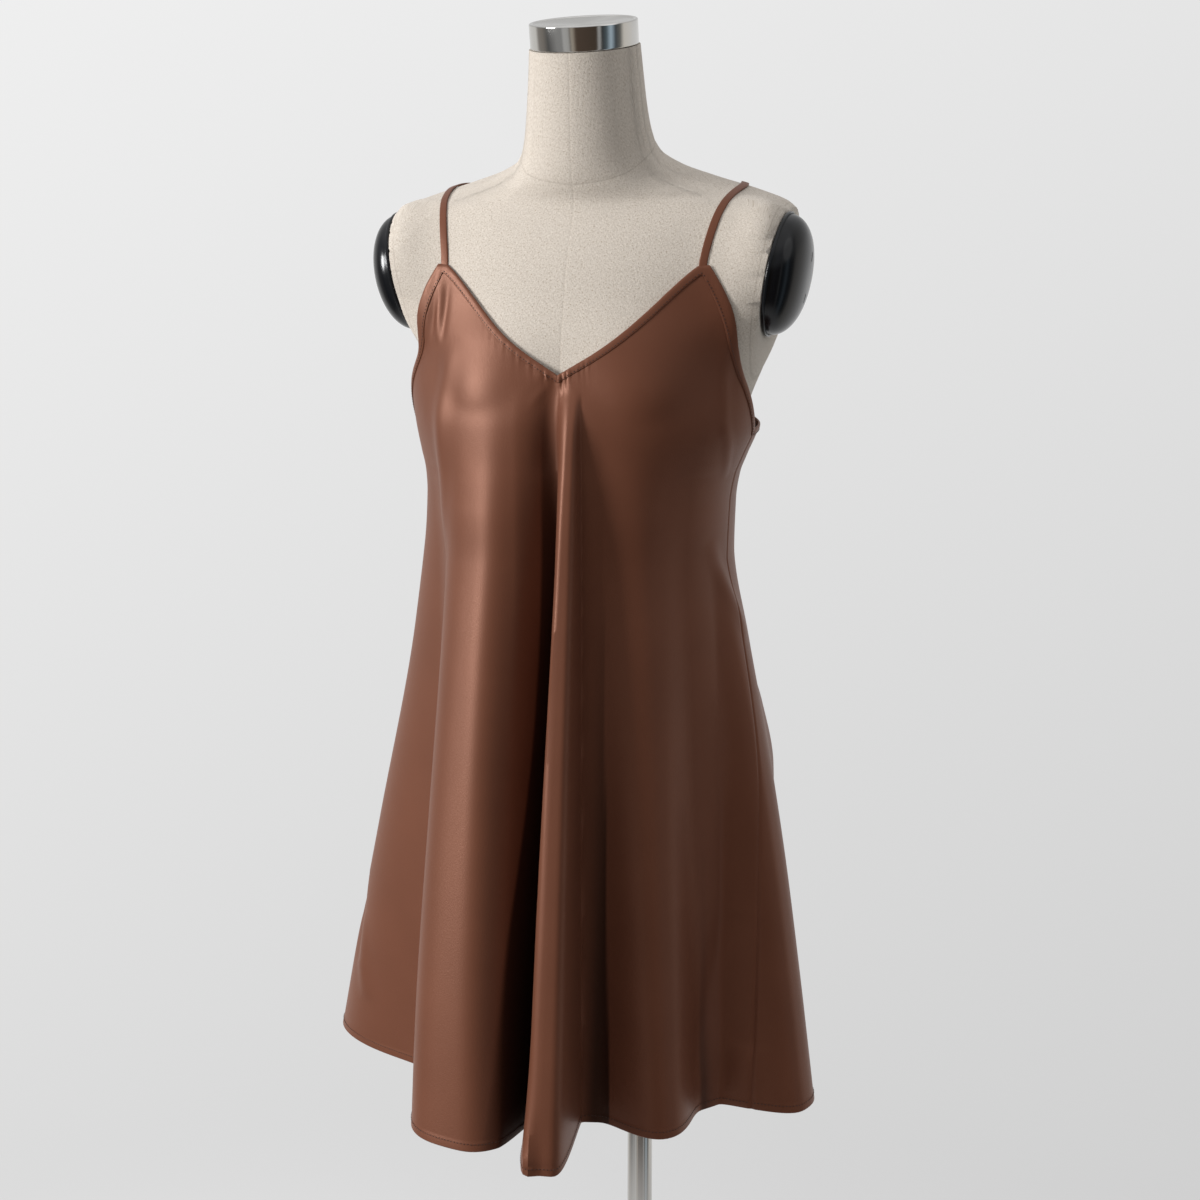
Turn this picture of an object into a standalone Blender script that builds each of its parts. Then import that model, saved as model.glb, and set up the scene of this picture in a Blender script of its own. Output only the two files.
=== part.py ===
"""A short satin slip dress worn by a limbless dress form on a pole stand.

Metres, +Z up, the form faces -Y and its own left arm is at +X. The base's underside is at the
origin, under the pole. The form and the dress are both written as a radius round one upright
axis, the body axis: theta is the direction in degrees, 0 at the front and 90 at the left arm.
"""
import bpy
import bmesh
import numpy as np

for old in list(bpy.data.objects):
    bpy.data.objects.remove(old, do_unlink=True)

# ---------------------------------------------------------------- driving sizes
GAP = 0.0003                       # between pieces that touch
BODY_AXIS = np.array([-0.017, -0.10, 0.0])
FORM_BOTTOM = 0.735
HEM_HEIGHT = 0.581
CLOTH_WALL = 0.0012
BINDING_WIDTH = 0.006
BINDING_WALL = 0.0010
STRAP_WIDTH = 0.007
STRAP_WALL = 0.0016
CLOTH_EASE = 0.005                 # least air between the form and the dress
CLOTH_BLEND = 0.006                # rounds the change from lying on the form to hanging free
V_TIP_HEIGHT = 1.237
STRAP_POINT_HEIGHT = 1.329
STRAP_POINT_ANGLE = 59.8
STRAP_POINT_HALF = 1.4             # degrees: the point is as wide as the strap
UNDERARM_HEIGHT = 1.186
UNDERARM_ANGLE = 88.0
BACK_STRAP_ANGLE = 142.0
BACK_STRAP_HEIGHT = 1.235
BACK_MIDDLE_HEIGHT = 1.205
ARM_PLATE_X = 0.170
ARM_PLATE_FORWARD = 0.014
ARM_PLATE_HEIGHT = 1.322
ARM_PLATE_TILT = 10.0              # degrees, top edge outwards
POLE_RADIUS = 0.0125
BASE_RADIUS = 0.175
BASE_THICKNESS = 0.008
NECK_CAP_RADIUS = 0.0472
NECK_CAP_HEIGHT = 0.0215


def table(columns, rows):
    """Named columns of numbers, one row for each section or fold."""
    return dict(zip(columns.split(), np.array(rows, float).T))


# Sections of the form, bottom to top. forward moves the middle of a section towards the front,
# tilt tips it forwards, and a square of 2 makes that half an ellipse, more a squarer oval.
FORM = table("height forward tilt half_width front back front_square back_square", [
    (0.735, 0.000, 0.0, 0.158, 0.066, 0.146, 2.2, 2.2),
    (0.800, 0.000, 0.0, 0.164, 0.078, 0.150, 2.3, 2.3),
    (0.870, 0.000, 0.0, 0.163, 0.087, 0.143, 2.3, 2.3),
    (0.930, 0.000, 0.0, 0.152, 0.088, 0.125, 2.3, 2.3),
    (0.990, 0.000, 0.0, 0.132, 0.083, 0.106, 2.2, 2.2),
    (1.045, 0.000, 0.0, 0.116, 0.078, 0.092, 2.2, 2.2),
    (1.100, 0.000, 0.0, 0.117, 0.083, 0.092, 2.2, 2.2),
    (1.160, 0.000, 0.0, 0.126, 0.092, 0.097, 2.2, 2.2),
    (1.215, 0.000, 0.0, 0.142, 0.101, 0.104, 2.2, 2.4),
    (1.262, 0.000, 0.0, 0.163, 0.098, 0.108, 2.1, 2.6),
    (1.300, 0.000, 0.0, 0.184, 0.090, 0.107, 2.0, 2.7),
    (1.325, 0.000, 0.0, 0.192, 0.084, 0.103, 2.0, 2.7),
    (1.350, -0.002, 0.0, 0.193, 0.077, 0.093, 2.0, 2.6),
    (1.370, -0.005, 1.0, 0.188, 0.071, 0.080, 2.0, 2.4),
    (1.383, -0.007, 4.0, 0.175, 0.067, 0.070, 2.0, 2.2),
    (1.393, -0.007, 8.0, 0.148, 0.064, 0.062, 2.0, 2.1),
    (1.401, -0.001, 13.0, 0.117, 0.062, 0.057, 2.0, 2.0),
    (1.409, 0.007, 18.0, 0.087, 0.060, 0.054, 2.0, 2.0),
    (1.420, 0.014, 21.0, 0.066, 0.057, 0.054, 2.0, 2.0),
    (1.435, 0.018, 20.0, 0.0580, 0.054, 0.052, 2.0, 2.0),
    (1.460, 0.022, 16.5, 0.0535, 0.051, 0.050, 2.0, 2.0),
    (1.490, 0.025, 12.8, 0.0505, 0.049, 0.049, 2.0, 2.0),
    (1.5155, 0.028, 11.3, 0.0485, 0.0475, 0.0475, 2.0, 2.0),
])
FORM_TOP = FORM["height"][-1]
HALVES = "front back front_square back_square"   # the columns that shape the two halves
# Soft bell-shaped swells on both sides of the form: the bust cups and the fronts of the shoulders.
SWELLS = table("angle height out spread tall", [
    (37.0, 1.205, 0.016, 24.0, 0.062),
    (73.0, 1.318, 0.024, 8.0, 0.045),
])

# Where the dress hangs between its folds, hem to strap points.
HANG = table("height right left front back front_square back_square", [
    (0.581, 0.166, 0.164, 0.152, 0.168, 2.0, 2.0),
    (0.700, 0.158, 0.159, 0.145, 0.162, 2.0, 2.0),
    (0.800, 0.150, 0.154, 0.138, 0.156, 2.0, 2.0),
    (1.000, 0.135, 0.136, 0.125, 0.132, 2.1, 2.1),
    (1.075, 0.134, 0.127, 0.121, 0.120, 2.1, 2.1),
    (1.120, 0.136, 0.128, 0.120, 0.113, 2.2, 2.2),
    (1.145, 0.140, 0.132, 0.119, 0.110, 2.2, 2.2),
    (1.160, 0.145, 0.138, 0.118, 0.109, 2.2, 2.2),
    (1.190, 0.154, 0.150, 0.117, 0.107, 2.2, 2.2),
    (1.240, 0.164, 0.155, 0.110, 0.105, 2.1, 2.2),
    (1.340, 0.168, 0.166, 0.082, 0.100, 2.0, 2.2),
])

# The folds of the skirt. Each starts at a height and grows down to the hem, its crest goes from
# the top angle to the hem angle, and out is how far it stands out there. right_side and
# left_side are its half widths in degrees at the hem, towards the form's right (-X) and left,
# times spread at its start. flat_right and flat_left make the crest flatter and the sides
# steeper, power shapes the growth, and drop lowers the hem under the crest.
FOLD_NAMES = ("side_right", "front_wide", "front_valley", "front_fall", "front_soft", "side_left",
              "back_left", "back_left_inner", "back_right_inner", "back_right")
FOLDS = table("start top hem right_side left_side spread flat_right flat_left out power drop", [
    (1.300, -90, -95.0, 52.0, 38.0, 1.0, 1.0, 0.9, 0.102, 1.05, 0.000),
    (1.235, -38, -15.0, 34.0, 21.0, 1.1, 1.6, 2.0, 0.087, 1.15, 0.000),
    (1.236, 0.5, -1.2, 3.0, 1.6, 6.0, 1.0, 1.0, -0.070, 0.70, 0.000),
    (1.222, 7.2, 6.0, 8.0, 6.8, 0.7, 2.6, 4.5, 0.085, 0.95, 0.012),
    (1.235, 36, 35.0, 17.0, 20.0, 1.0, 1.0, 1.0, 0.041, 1.30, 0.000),
    (1.070, 84, 75.0, 14.0, 30.0, 1.0, 2.0, 1.0, 0.065, 1.00, 0.000),
    (1.000, 124, 124.0, 18.0, 17.0, 1.2, 1.2, 1.0, 0.050, 1.20, 0.000),
    (1.060, 152, 155.0, 16.0, 15.0, 1.3, 1.0, 1.5, 0.064, 1.10, 0.004),
    (1.020, 190, 187.0, 15.0, 17.0, 1.3, 1.3, 1.0, 0.056, 1.15, 0.002),
    (0.960, 222, 219.0, 17.0, 15.0, 1.2, 1.0, 1.2, 0.066, 1.20, 0.000),
])

# The side seams, hem to underarm. They swing forwards or back with the folds.
SEAMS = table("height right left", [
    (0.560, -93.0, 65.0),
    (0.680, -92.0, 68.1),
    (0.814, -91.0, 72.5),
    (0.940, -90.0, 79.5),
    (1.030, -89.0, 84.0),
    (1.186, -88.0, 88.0),
])


# ---------------------------------------------------------------- shapes
def smooth_line(at, values, x):
    """A line through the rows that never swings past them: a cubic piece between each two
    rows, with the slope at a row the weighted harmonic mean of the slopes beside it."""
    x = np.clip(x, at[0], at[-1])
    step = np.diff(at)
    slope = np.diff(values) / step
    same_way = slope[:-1] * slope[1:] > 0
    before, after = 2 * step[1:] + step[:-1], step[1:] + 2 * step[:-1]
    safe = np.where(slope == 0, 1.0, slope)
    mean = (before + after) / (before / safe[:-1] + after / safe[1:])
    grade = np.concatenate([slope[:1], np.where(same_way, mean, 0.0), slope[-1:]])
    i = np.clip(np.searchsorted(at, x, side="right") - 1, 0, len(step) - 1)
    t = (x - at[i]) / step[i]
    return ((1 + 2 * t) * (1 - t) ** 2 * values[i] + t * (1 - t) ** 2 * step[i] * grade[i]
            + t * t * (3 - 2 * t) * values[i + 1] + t * t * (t - 1) * step[i] * grade[i + 1])


def wrapped(theta):
    """The same direction between -180 and 180 degrees."""
    return (np.asarray(theta, float) + 180) % 360 - 180


def oval(theta, right, left, front, back, front_square, back_square):
    """Radius of an oval with its own reach towards each of its four sides."""
    side = np.sin(np.radians(theta))
    ahead = np.cos(np.radians(theta))
    across = np.abs(side) / np.where(side > 0, left, right)
    along = np.abs(ahead) / np.where(ahead > 0, front, back)
    square = np.where(ahead > 0, front_square, back_square)
    return (across ** square + along ** square) ** (-1 / square)


def section(rows, names, height):
    return [smooth_line(rows["height"], rows[name], height) for name in names.split()]


def form_radius(theta, height):
    """The form's oval with its swells, each exp(-(off / spread) ** 2) in both directions."""
    total = oval(theta, *section(FORM, "half_width half_width " + HALVES, height))
    away = np.abs(wrapped(theta))
    for angle, middle, out, spread, tall in zip(*SWELLS.values()):
        total = total + out * np.exp(-((away - angle) / spread) ** 2
                                     - ((height - middle) / tall) ** 2)
    return total


def form_point(theta, height):
    """A point of the form: its oval, moved forward and tipped about its own cross axis."""
    forward, tilt = section(FORM, "forward tilt", height)
    radius = form_radius(theta, height)
    across = radius * np.sin(np.radians(theta))
    ahead = radius * np.cos(np.radians(theta))
    tip = np.radians(tilt)
    return BODY_AXIS + np.stack(
        [across, -forward - ahead * np.cos(tip), height - ahead * np.sin(tip)], -1)


def fold_sum(theta, height, amount):
    """Every fold's bell, 1 - sin(pi t / 2) ** (2 flat) for t from 0 at the crest to 1 at its
    foot, times its growth so far and its amount, all added up."""
    total = 0.0
    for i in range(len(FOLD_NAMES)):
        fold = {name: column[i] for name, column in FOLDS.items()}
        grown = np.clip((fold["start"] - height) / (fold["start"] - HEM_HEIGHT), 0, 1)
        crest = fold["top"] + (fold["hem"] - fold["top"]) * grown
        off = wrapped(theta - crest)
        to_right = off < 0
        half = np.where(to_right, fold["right_side"], fold["left_side"])
        half = half * (fold["spread"] + (1 - fold["spread"]) * grown)
        flat = np.where(to_right, fold["flat_right"], fold["flat_left"])
        bell = 1 - np.sin(np.clip(np.abs(off) / half, 0, 1) * np.pi / 2) ** (2 * flat)
        total = total + fold[amount] * bell * grown ** fold["power"]
    return total


def dress_radius(theta, height):
    """The larger of the form with its ease and the hanging cloth, with a rounded change."""
    lying = form_radius(theta, height) + CLOTH_EASE
    hanging = (oval(theta, *section(HANG, "right left " + HALVES, height))
               + fold_sum(theta, height, "out"))
    return (lying + hanging + np.hypot(lying - hanging, CLOTH_BLEND)) / 2


def dress_point(theta, height):
    radius = dress_radius(theta, height)
    turn = np.radians(theta)
    upright = height + 0 * radius
    return BODY_AXIS + np.stack([radius * np.sin(turn), -radius * np.cos(turn), upright], -1)


EDGE = table("angle height", [
    (0.0, V_TIP_HEIGHT),
    (20.0, 1.2600),
    (40.0, 1.2915),
    (STRAP_POINT_ANGLE - STRAP_POINT_HALF, STRAP_POINT_HEIGHT),
    (STRAP_POINT_ANGLE + STRAP_POINT_HALF, STRAP_POINT_HEIGHT),
    (64.6, 1.298),
    (69.0, 1.260),
    (78.0, 1.225),
    (UNDERARM_ANGLE, UNDERARM_HEIGHT),
    (115.0, 1.205),
    (BACK_STRAP_ANGLE, BACK_STRAP_HEIGHT),
    (180.0, BACK_MIDDLE_HEIGHT),
])
EDGE_CORNERS = (0, 3, 4, 8, 10, 11)  # rows of EDGE where the line may bend sharply


def top_edge(theta):
    """Height of the dress's upper edge: neckline, strap points, armholes and back."""
    away = np.abs(wrapped(theta))
    height = np.full_like(away, STRAP_POINT_HEIGHT)
    for first, last in zip(EDGE_CORNERS[:-1], EDGE_CORNERS[1:]):
        at = EDGE["angle"][first:last + 1]
        inside = (away >= at[0]) & (away <= at[-1])
        line = smooth_line(at, EDGE["height"][first:last + 1], away)
        height = np.where(inside, line, height)
    return height


def hem_edge(theta):
    return HEM_HEIGHT - fold_sum(theta, np.full_like(theta, HEM_HEIGHT), "drop")


# ---------------------------------------------------------------- building
def material(name, color, roughness, metallic=0.0):
    made = bpy.data.materials.new(name)
    made.use_nodes = True
    shader = made.node_tree.nodes["Principled BSDF"]
    shader.inputs["Base Color"].default_value = (*color, 1.0)
    shader.inputs["Roughness"].default_value = roughness
    shader.inputs["Metallic"].default_value = metallic
    return made


SATIN = material("satin", (0.27, 0.115, 0.065), 0.40)
LINEN = material("linen", (0.67, 0.61, 0.53), 0.90)
CHROME = material("chrome", (0.80, 0.80, 0.80), 0.12, 1.0)
BLACK = material("black_plastic", (0.012, 0.012, 0.014), 0.15)
STEEL = material("base_steel", (0.62, 0.62, 0.63), 0.35, 1.0)


def add_object(name, points, faces, finish):
    """One closed object, with doubled points joined and its faces turned outwards."""
    mesh = bpy.data.meshes.new(name)
    mesh.from_pydata([tuple(point) for point in points], [], faces)
    work = bmesh.new()
    work.from_mesh(mesh)
    bmesh.ops.remove_doubles(work, verts=work.verts, dist=1e-6)
    bmesh.ops.recalc_face_normals(work, faces=work.faces)
    work.to_mesh(mesh)
    work.free()
    mesh.materials.append(finish)
    mesh.shade_smooth()
    mesh.set_sharp_from_angle(angle=np.radians(40))
    made = bpy.data.objects.new(name, mesh)
    bpy.context.scene.collection.objects.link(made)
    return made


def grid_faces(rows, columns, start=0, wrap=False):
    """Two triangles for each cell of a grid of points, all cut along the same diagonal."""
    row, column = np.meshgrid(np.arange(rows - 1), np.arange(columns - (not wrap)), indexing="ij")
    after = (column + 1) % columns
    low, low_after = row * columns + column, row * columns + after
    high, high_after = low + columns, low_after + columns
    cells = np.stack([low, low_after, high_after, low, high_after, high], -1)
    return (start + cells.reshape(-1, 3)).tolist()


def outward(middle):
    """Unit normals of a grid of points, from the directions of its columns and rows."""
    normal = np.cross(np.gradient(middle, axis=1), np.gradient(middle, axis=0))
    return normal / np.linalg.norm(normal, axis=-1, keepdims=True)


def wall(name, middle, normal, thickness, finish, moved_out=0.0):
    """A sheet of cloth: a grid of points moved half the thickness to each side along its
    normals, with the rim closed between the two sides."""
    outer = middle + normal * (moved_out + thickness / 2)
    inner = middle + normal * (moved_out - thickness / 2)
    rows, columns = middle.shape[:2]
    count = rows * columns
    index = np.arange(count).reshape(rows, columns)
    rim = np.concatenate([index[0, :-1], index[:-1, -1], index[-1, :0:-1], index[:0:-1, 0]])
    faces = grid_faces(rows, columns)
    faces += [face[::-1] for face in grid_faces(rows, columns, count)]
    faces += [(b, a, a + count, b + count) for a, b in zip(rim, np.roll(rim, -1))]
    points = np.concatenate([outer.reshape(-1, 3), inner.reshape(-1, 3)])
    return add_object(name, points, faces, finish)


def turned(name, profile, finish, centre=(0, 0, 0), axes=np.eye(3), stretch=(1, 1), sides=24):
    """A solid turned round axes[2] through centre. The profile's rows are radius and height,
    from the axis back to the axis, or a closed loop where it never meets the axis."""
    turn = np.linspace(0, 2 * np.pi, sides, endpoint=False)
    radius, height = np.array(profile, float).T
    flat = (np.cos(turn)[:, None] * stretch[0] * axes[0]
            + np.sin(turn)[:, None] * stretch[1] * axes[1])
    points = (np.asarray(centre) + radius[:, None, None] * flat
              + height[:, None, None] * axes[2])
    faces = grid_faces(len(profile), sides, wrap=True)
    if radius[0] > 0:
        last = (len(profile) - 1) * sides
        faces += [(last + i, last + (i + 1) % sides, (i + 1) % sides, i) for i in range(sides)]
    return add_object(name, points.reshape(-1, 3), faces, finish)


def upright_axes(tilt_forward=0.0):
    """Across, back and up directions of a piece tipped towards the front."""
    tip = np.radians(tilt_forward)
    return np.array([(1, 0, 0), (0, np.cos(tip), np.sin(tip)), (0, -np.sin(tip), np.cos(tip))])


# ---------------------------------------------------------------- the dress form
FORM_SIDES, FORM_ROWS = 48, 36
row_heights = np.interp(np.linspace(0, 1, FORM_ROWS), [0, 0.36, 0.50, 0.82, 1],
                        [FORM_BOTTOM, 1.16, 1.35, 1.44, FORM_TOP])
heights, angles = np.meshgrid(row_heights, np.arange(FORM_SIDES) * 360 / FORM_SIDES,
                              indexing="ij")
form_faces = grid_faces(FORM_ROWS, FORM_SIDES, wrap=True)
form_faces.append(list(range(FORM_SIDES))[::-1])
form_faces.append([(FORM_ROWS - 1) * FORM_SIDES + i for i in range(FORM_SIDES)])
body = add_object("form_body", form_point(angles, heights).reshape(-1, 3), form_faces, LINEN)


def arm_plate(side):
    """Middle of the flat face for an arm, and its forward, upward and outward directions."""
    tip = np.radians(ARM_PLATE_TILT)
    centre = BODY_AXIS + np.array([side * ARM_PLATE_X, -ARM_PLATE_FORWARD, ARM_PLATE_HEIGHT])
    up = np.array([side * np.sin(tip), 0, np.cos(tip)])
    out = np.array([side * np.cos(tip), 0, -np.sin(tip)])
    return centre, np.array([np.cross(up, out), up, out])


ARM_CAP_DEPTH, ARM_CAP_TALL, ARM_CAP_RIM, ARM_CAP_DOME = 0.0500, 0.0545, 0.0035, 0.0245
dome_turns = np.radians(np.linspace(8, 90, 7))
cap_profile = [(0, 0), (0.985, 0), (1, 0.0008), (1, ARM_CAP_RIM)]
cap_profile += [(np.cos(turn) ** 0.8, ARM_CAP_RIM + ARM_CAP_DOME * np.sin(turn))
                for turn in dome_turns]
cap_profile[-1] = (0, ARM_CAP_RIM + ARM_CAP_DOME)
for side, name in ((1, "left"), (-1, "right")):
    centre, axes = arm_plate(side)
    cutter_size = 0.10
    bpy.ops.mesh.primitive_cube_add(size=2 * cutter_size)
    cutter = bpy.context.active_object
    cutter.name = f"arm_cut_{name}"
    cutter.rotation_euler = (0, side * np.radians(ARM_PLATE_TILT), 0)
    cutter.location = centre + axes[2] * cutter_size
    cutter.hide_render = True
    cutter.display_type = "WIRE"
    cut = body.modifiers.new(f"cut_{name}", "BOOLEAN")
    cut.operation = "DIFFERENCE"
    cut.object = cutter
    turned(f"arm_cap_{name}", cap_profile, BLACK, centre + axes[2] * GAP, axes,
           (ARM_CAP_DEPTH, ARM_CAP_TALL))

neck_forward, neck_tilt = section(FORM, "forward tilt", FORM_TOP)
neck_axes = upright_axes(neck_tilt)
neck_top = BODY_AXIS + np.array([0, -neck_forward, FORM_TOP]) + neck_axes[2] * GAP
EDGE_ROUND = 0.0018
turned("neck_cap", [
    (0, 0),
    (NECK_CAP_RADIUS, 0),
    (NECK_CAP_RADIUS, NECK_CAP_HEIGHT - EDGE_ROUND),
    (NECK_CAP_RADIUS - 0.3 * EDGE_ROUND, NECK_CAP_HEIGHT - 0.3 * EDGE_ROUND),
    (NECK_CAP_RADIUS - EDGE_ROUND, NECK_CAP_HEIGHT),
    (NECK_CAP_RADIUS - 2.5 * EDGE_ROUND, NECK_CAP_HEIGHT - 0.0010),
    (0, NECK_CAP_HEIGHT - 0.0026),
], CHROME, neck_top, neck_axes, sides=36)

SOCKET_RADIUS, SOCKET_LENGTH, FLANGE_RADIUS, FLANGE_THICKNESS = 0.019, 0.050, 0.032, 0.004
bore = POLE_RADIUS + GAP
turned("pole_socket", [
    (0, -GAP),
    (FLANGE_RADIUS, -GAP),
    (FLANGE_RADIUS, -GAP - FLANGE_THICKNESS),
    (SOCKET_RADIUS, -GAP - FLANGE_THICKNESS - 0.002),
    (SOCKET_RADIUS, -SOCKET_LENGTH),
    (bore, -SOCKET_LENGTH),
    (bore, -2 * GAP - FLANGE_THICKNESS),
    (0, -2 * GAP - FLANGE_THICKNESS),
], STEEL, (0, 0, FORM_BOTTOM))
pole_bottom = BASE_THICKNESS + GAP
pole_top = FORM_BOTTOM - 3 * GAP - FLANGE_THICKNESS
turned("pole", [(0, pole_bottom), (POLE_RADIUS, pole_bottom), (POLE_RADIUS, pole_top),
                (0, pole_top)], CHROME)

COLLAR_RADIUS, COLLAR_HEIGHT, COLLAR_FLANGE = 0.020, 0.030, 0.030
turned("base_collar", [
    (bore, pole_bottom),
    (COLLAR_FLANGE, pole_bottom),
    (COLLAR_FLANGE, pole_bottom + 0.004),
    (COLLAR_RADIUS, pole_bottom + 0.007),
    (COLLAR_RADIUS, pole_bottom + COLLAR_HEIGHT - 0.002),
    (COLLAR_RADIUS - 0.002, pole_bottom + COLLAR_HEIGHT),
    (bore, pole_bottom + COLLAR_HEIGHT),
], CHROME)
turned("base", [
    (0, 0),
    (BASE_RADIUS - 0.001, 0),
    (BASE_RADIUS, 0.001),
    (BASE_RADIUS, BASE_THICKNESS - 0.002),
    (BASE_RADIUS - 0.002, BASE_THICKNESS),
    (0, BASE_THICKNESS),
], STEEL, sides=48)


# ---------------------------------------------------------------- the dress
def seam_angle(side, height):
    return smooth_line(SEAMS["height"], SEAMS["left" if side > 0 else "right"], height)


BUST_RADIUS, SEAM_RADIUS = 0.13, 0.15  # usual distances of the top edge and side seams
SEAM_GAP = 1.6 * GAP                   # between the panels: the slanted walls come nearer
FINE = 241                             # points that a line is measured by


def inset_edge(theta, width):
    """The top edge moved into the panel by width: the lowest reach of a disc rolled along it."""
    reach = np.degrees(width / BUST_RADIUS)
    shift = np.linspace(-1, 1, FINE // 3)
    near = top_edge(theta[..., None] + shift * reach)
    return (near - width * np.sqrt(1 - shift ** 2)).min(axis=-1)


# The lines that a panel's columns follow, such as the fold crests: each one's angle at the top
# edge and at the hem, and the number of columns from it to the next. The first and last are the
# seams, and each strap point has three lines.
FRONT_LINES = table("top hem columns", [
    (-UNDERARM_ANGLE, -93.0, 9),
    (-STRAP_POINT_ANGLE - STRAP_POINT_HALF, -59.5, 1),
    (-STRAP_POINT_ANGLE, -58.0, 1),
    (-STRAP_POINT_ANGLE + STRAP_POINT_HALF, -56.5, 18),
    (0.0, -2.2, 7),
    (8.0, 5.6, 7),
    (19.0, 13.6, 9),
    (STRAP_POINT_ANGLE - STRAP_POINT_HALF, 51.0, 1),
    (STRAP_POINT_ANGLE, 52.0, 1),
    (STRAP_POINT_ANGLE + STRAP_POINT_HALF, 53.0, 6),
    (UNDERARM_ANGLE, 65.0, 0),
])
BACK_LINES = table("top hem columns", [
    (UNDERARM_ANGLE, 65.0, 12),
    (BACK_STRAP_ANGLE, 138.0, 8),
    (180.0, 172.0, 9),
    (360 - BACK_STRAP_ANGLE, 222.0, 9),
    (360 - UNDERARM_ANGLE, 267.0, 0),
])
# The rows of a panel: 0 is the hem, 1 the binding's lower edge and 2 the top edge. They crowd
# towards the top, where the cloth bends most.
PANEL_ROWS, BINDING_ROWS, CROWDING = 15, 3, 1.25
LEVELS = [*(1 - np.linspace(1, 0, PANEL_ROWS) ** CROWDING), 1.5, 2.0]


def panel_grid(lines, first, last):
    """The points of a panel between two seams, each seam's angle a function of height. Between
    two lines its points are evenly spaced along the cloth, and the last rows are the binding's."""
    fine = np.linspace(0, 1, FINE)
    grid = []
    for level in LEVELS:
        share = min(level, 1.0)

        def height_of(theta):
            low, high = hem_edge(theta), inset_edge(theta, BINDING_WIDTH)
            return low + share * (high - low) + (level - share) * (top_edge(theta) - high)

        stops = lines["hem"] + (lines["top"] - lines["hem"]) * share
        for _ in range(4):
            ends = height_of(stops[[0, -1]])
            stops[0], stops[-1] = first(ends[0]), last(ends[1])
        row = []
        for start, end, count in zip(stops[:-1], stops[1:], lines["columns"]):
            theta = start + fine * (end - start)
            line = dress_point(theta, height_of(theta))
            step = np.linalg.norm(np.diff(line, axis=0), axis=1)
            length = np.concatenate([[0], np.cumsum(step)])
            row.append(np.interp(np.arange(count) / count * length[-1], length, theta))
        at = np.concatenate(row + [stops[-1:]])
        grid.append(dress_point(at, height_of(at)))
    return np.array(grid)


SEAM_GAP_ANGLE = np.degrees(SEAM_GAP / SEAM_RADIUS) / 2


def sewn_panel(name, lines, first, last):
    grid = panel_grid(lines, first, last)
    normal = outward(grid)
    wall(name, grid, normal, CLOTH_WALL, SATIN)
    return grid, normal


def binding(name, panel, first, last):
    """A bias strip over the panel's top edge: the panel's own points from one column to
    another, moved out, and drawn in a little where it meets the next strip."""
    grid, normal = (part[-BINDING_ROWS:, first:last + 1].copy() for part in panel)
    for end, inner in ((0, 1), (-1, -2)):
        step = grid[:, inner] - grid[:, end]
        grid[:, end] += step * (GAP / 2) / np.linalg.norm(step, axis=1, keepdims=True)
    out = CLOTH_WALL / 2 + GAP + BINDING_WALL / 2
    wall(name, grid, normal, BINDING_WALL, SATIN, moved_out=out)


front = sewn_panel("dress_front", FRONT_LINES, lambda h: seam_angle(-1, h) + SEAM_GAP_ANGLE,
                   lambda h: seam_angle(1, h) - SEAM_GAP_ANGLE)
back = sewn_panel("dress_back", BACK_LINES, lambda h: seam_angle(1, h) + SEAM_GAP_ANGLE,
                  lambda h: seam_angle(-1, h) + 360 - SEAM_GAP_ANGLE)


def column_at(panel, theta):
    """The panel's column whose top point lies in the direction theta."""
    top = panel[0][-1] - BODY_AXIS
    angle = np.degrees(np.arctan2(top[:, 0], -top[:, 1]))
    return int(np.argmin(np.abs(angle - theta)))


right_point, v_tip, left_point = (column_at(front, angle) for angle in
                                  (-STRAP_POINT_ANGLE, 0.0, STRAP_POINT_ANGLE))
binding("armhole_binding_right", front, 0, right_point)
binding("neck_binding_right", front, right_point, v_tip)
binding("neck_binding_left", front, v_tip, left_point)
binding("armhole_binding_left", front, left_point, front[0].shape[1] - 1)
binding("back_binding", back, 0, back[0].shape[1] - 1)

STRAP_SHOULDER_X = 0.135
STRAP_FADE = 0.10                  # share of a strap's length that leaves the form at each end
STRAP_ROUNDS = 40                  # rounds of smoothing along a strap
SHOULDER_LOW, SHOULDER_HIGH = 1.36, 1.42  # heights between which a strap crosses the ridge
STRAP_ENDS = ((0.0, STRAP_POINT_ANGLE, STRAP_POINT_HEIGHT, STRAP_POINT_HALF),
              (180.0, BACK_STRAP_ANGLE, BACK_STRAP_HEIGHT, -STRAP_POINT_HALF))


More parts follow.
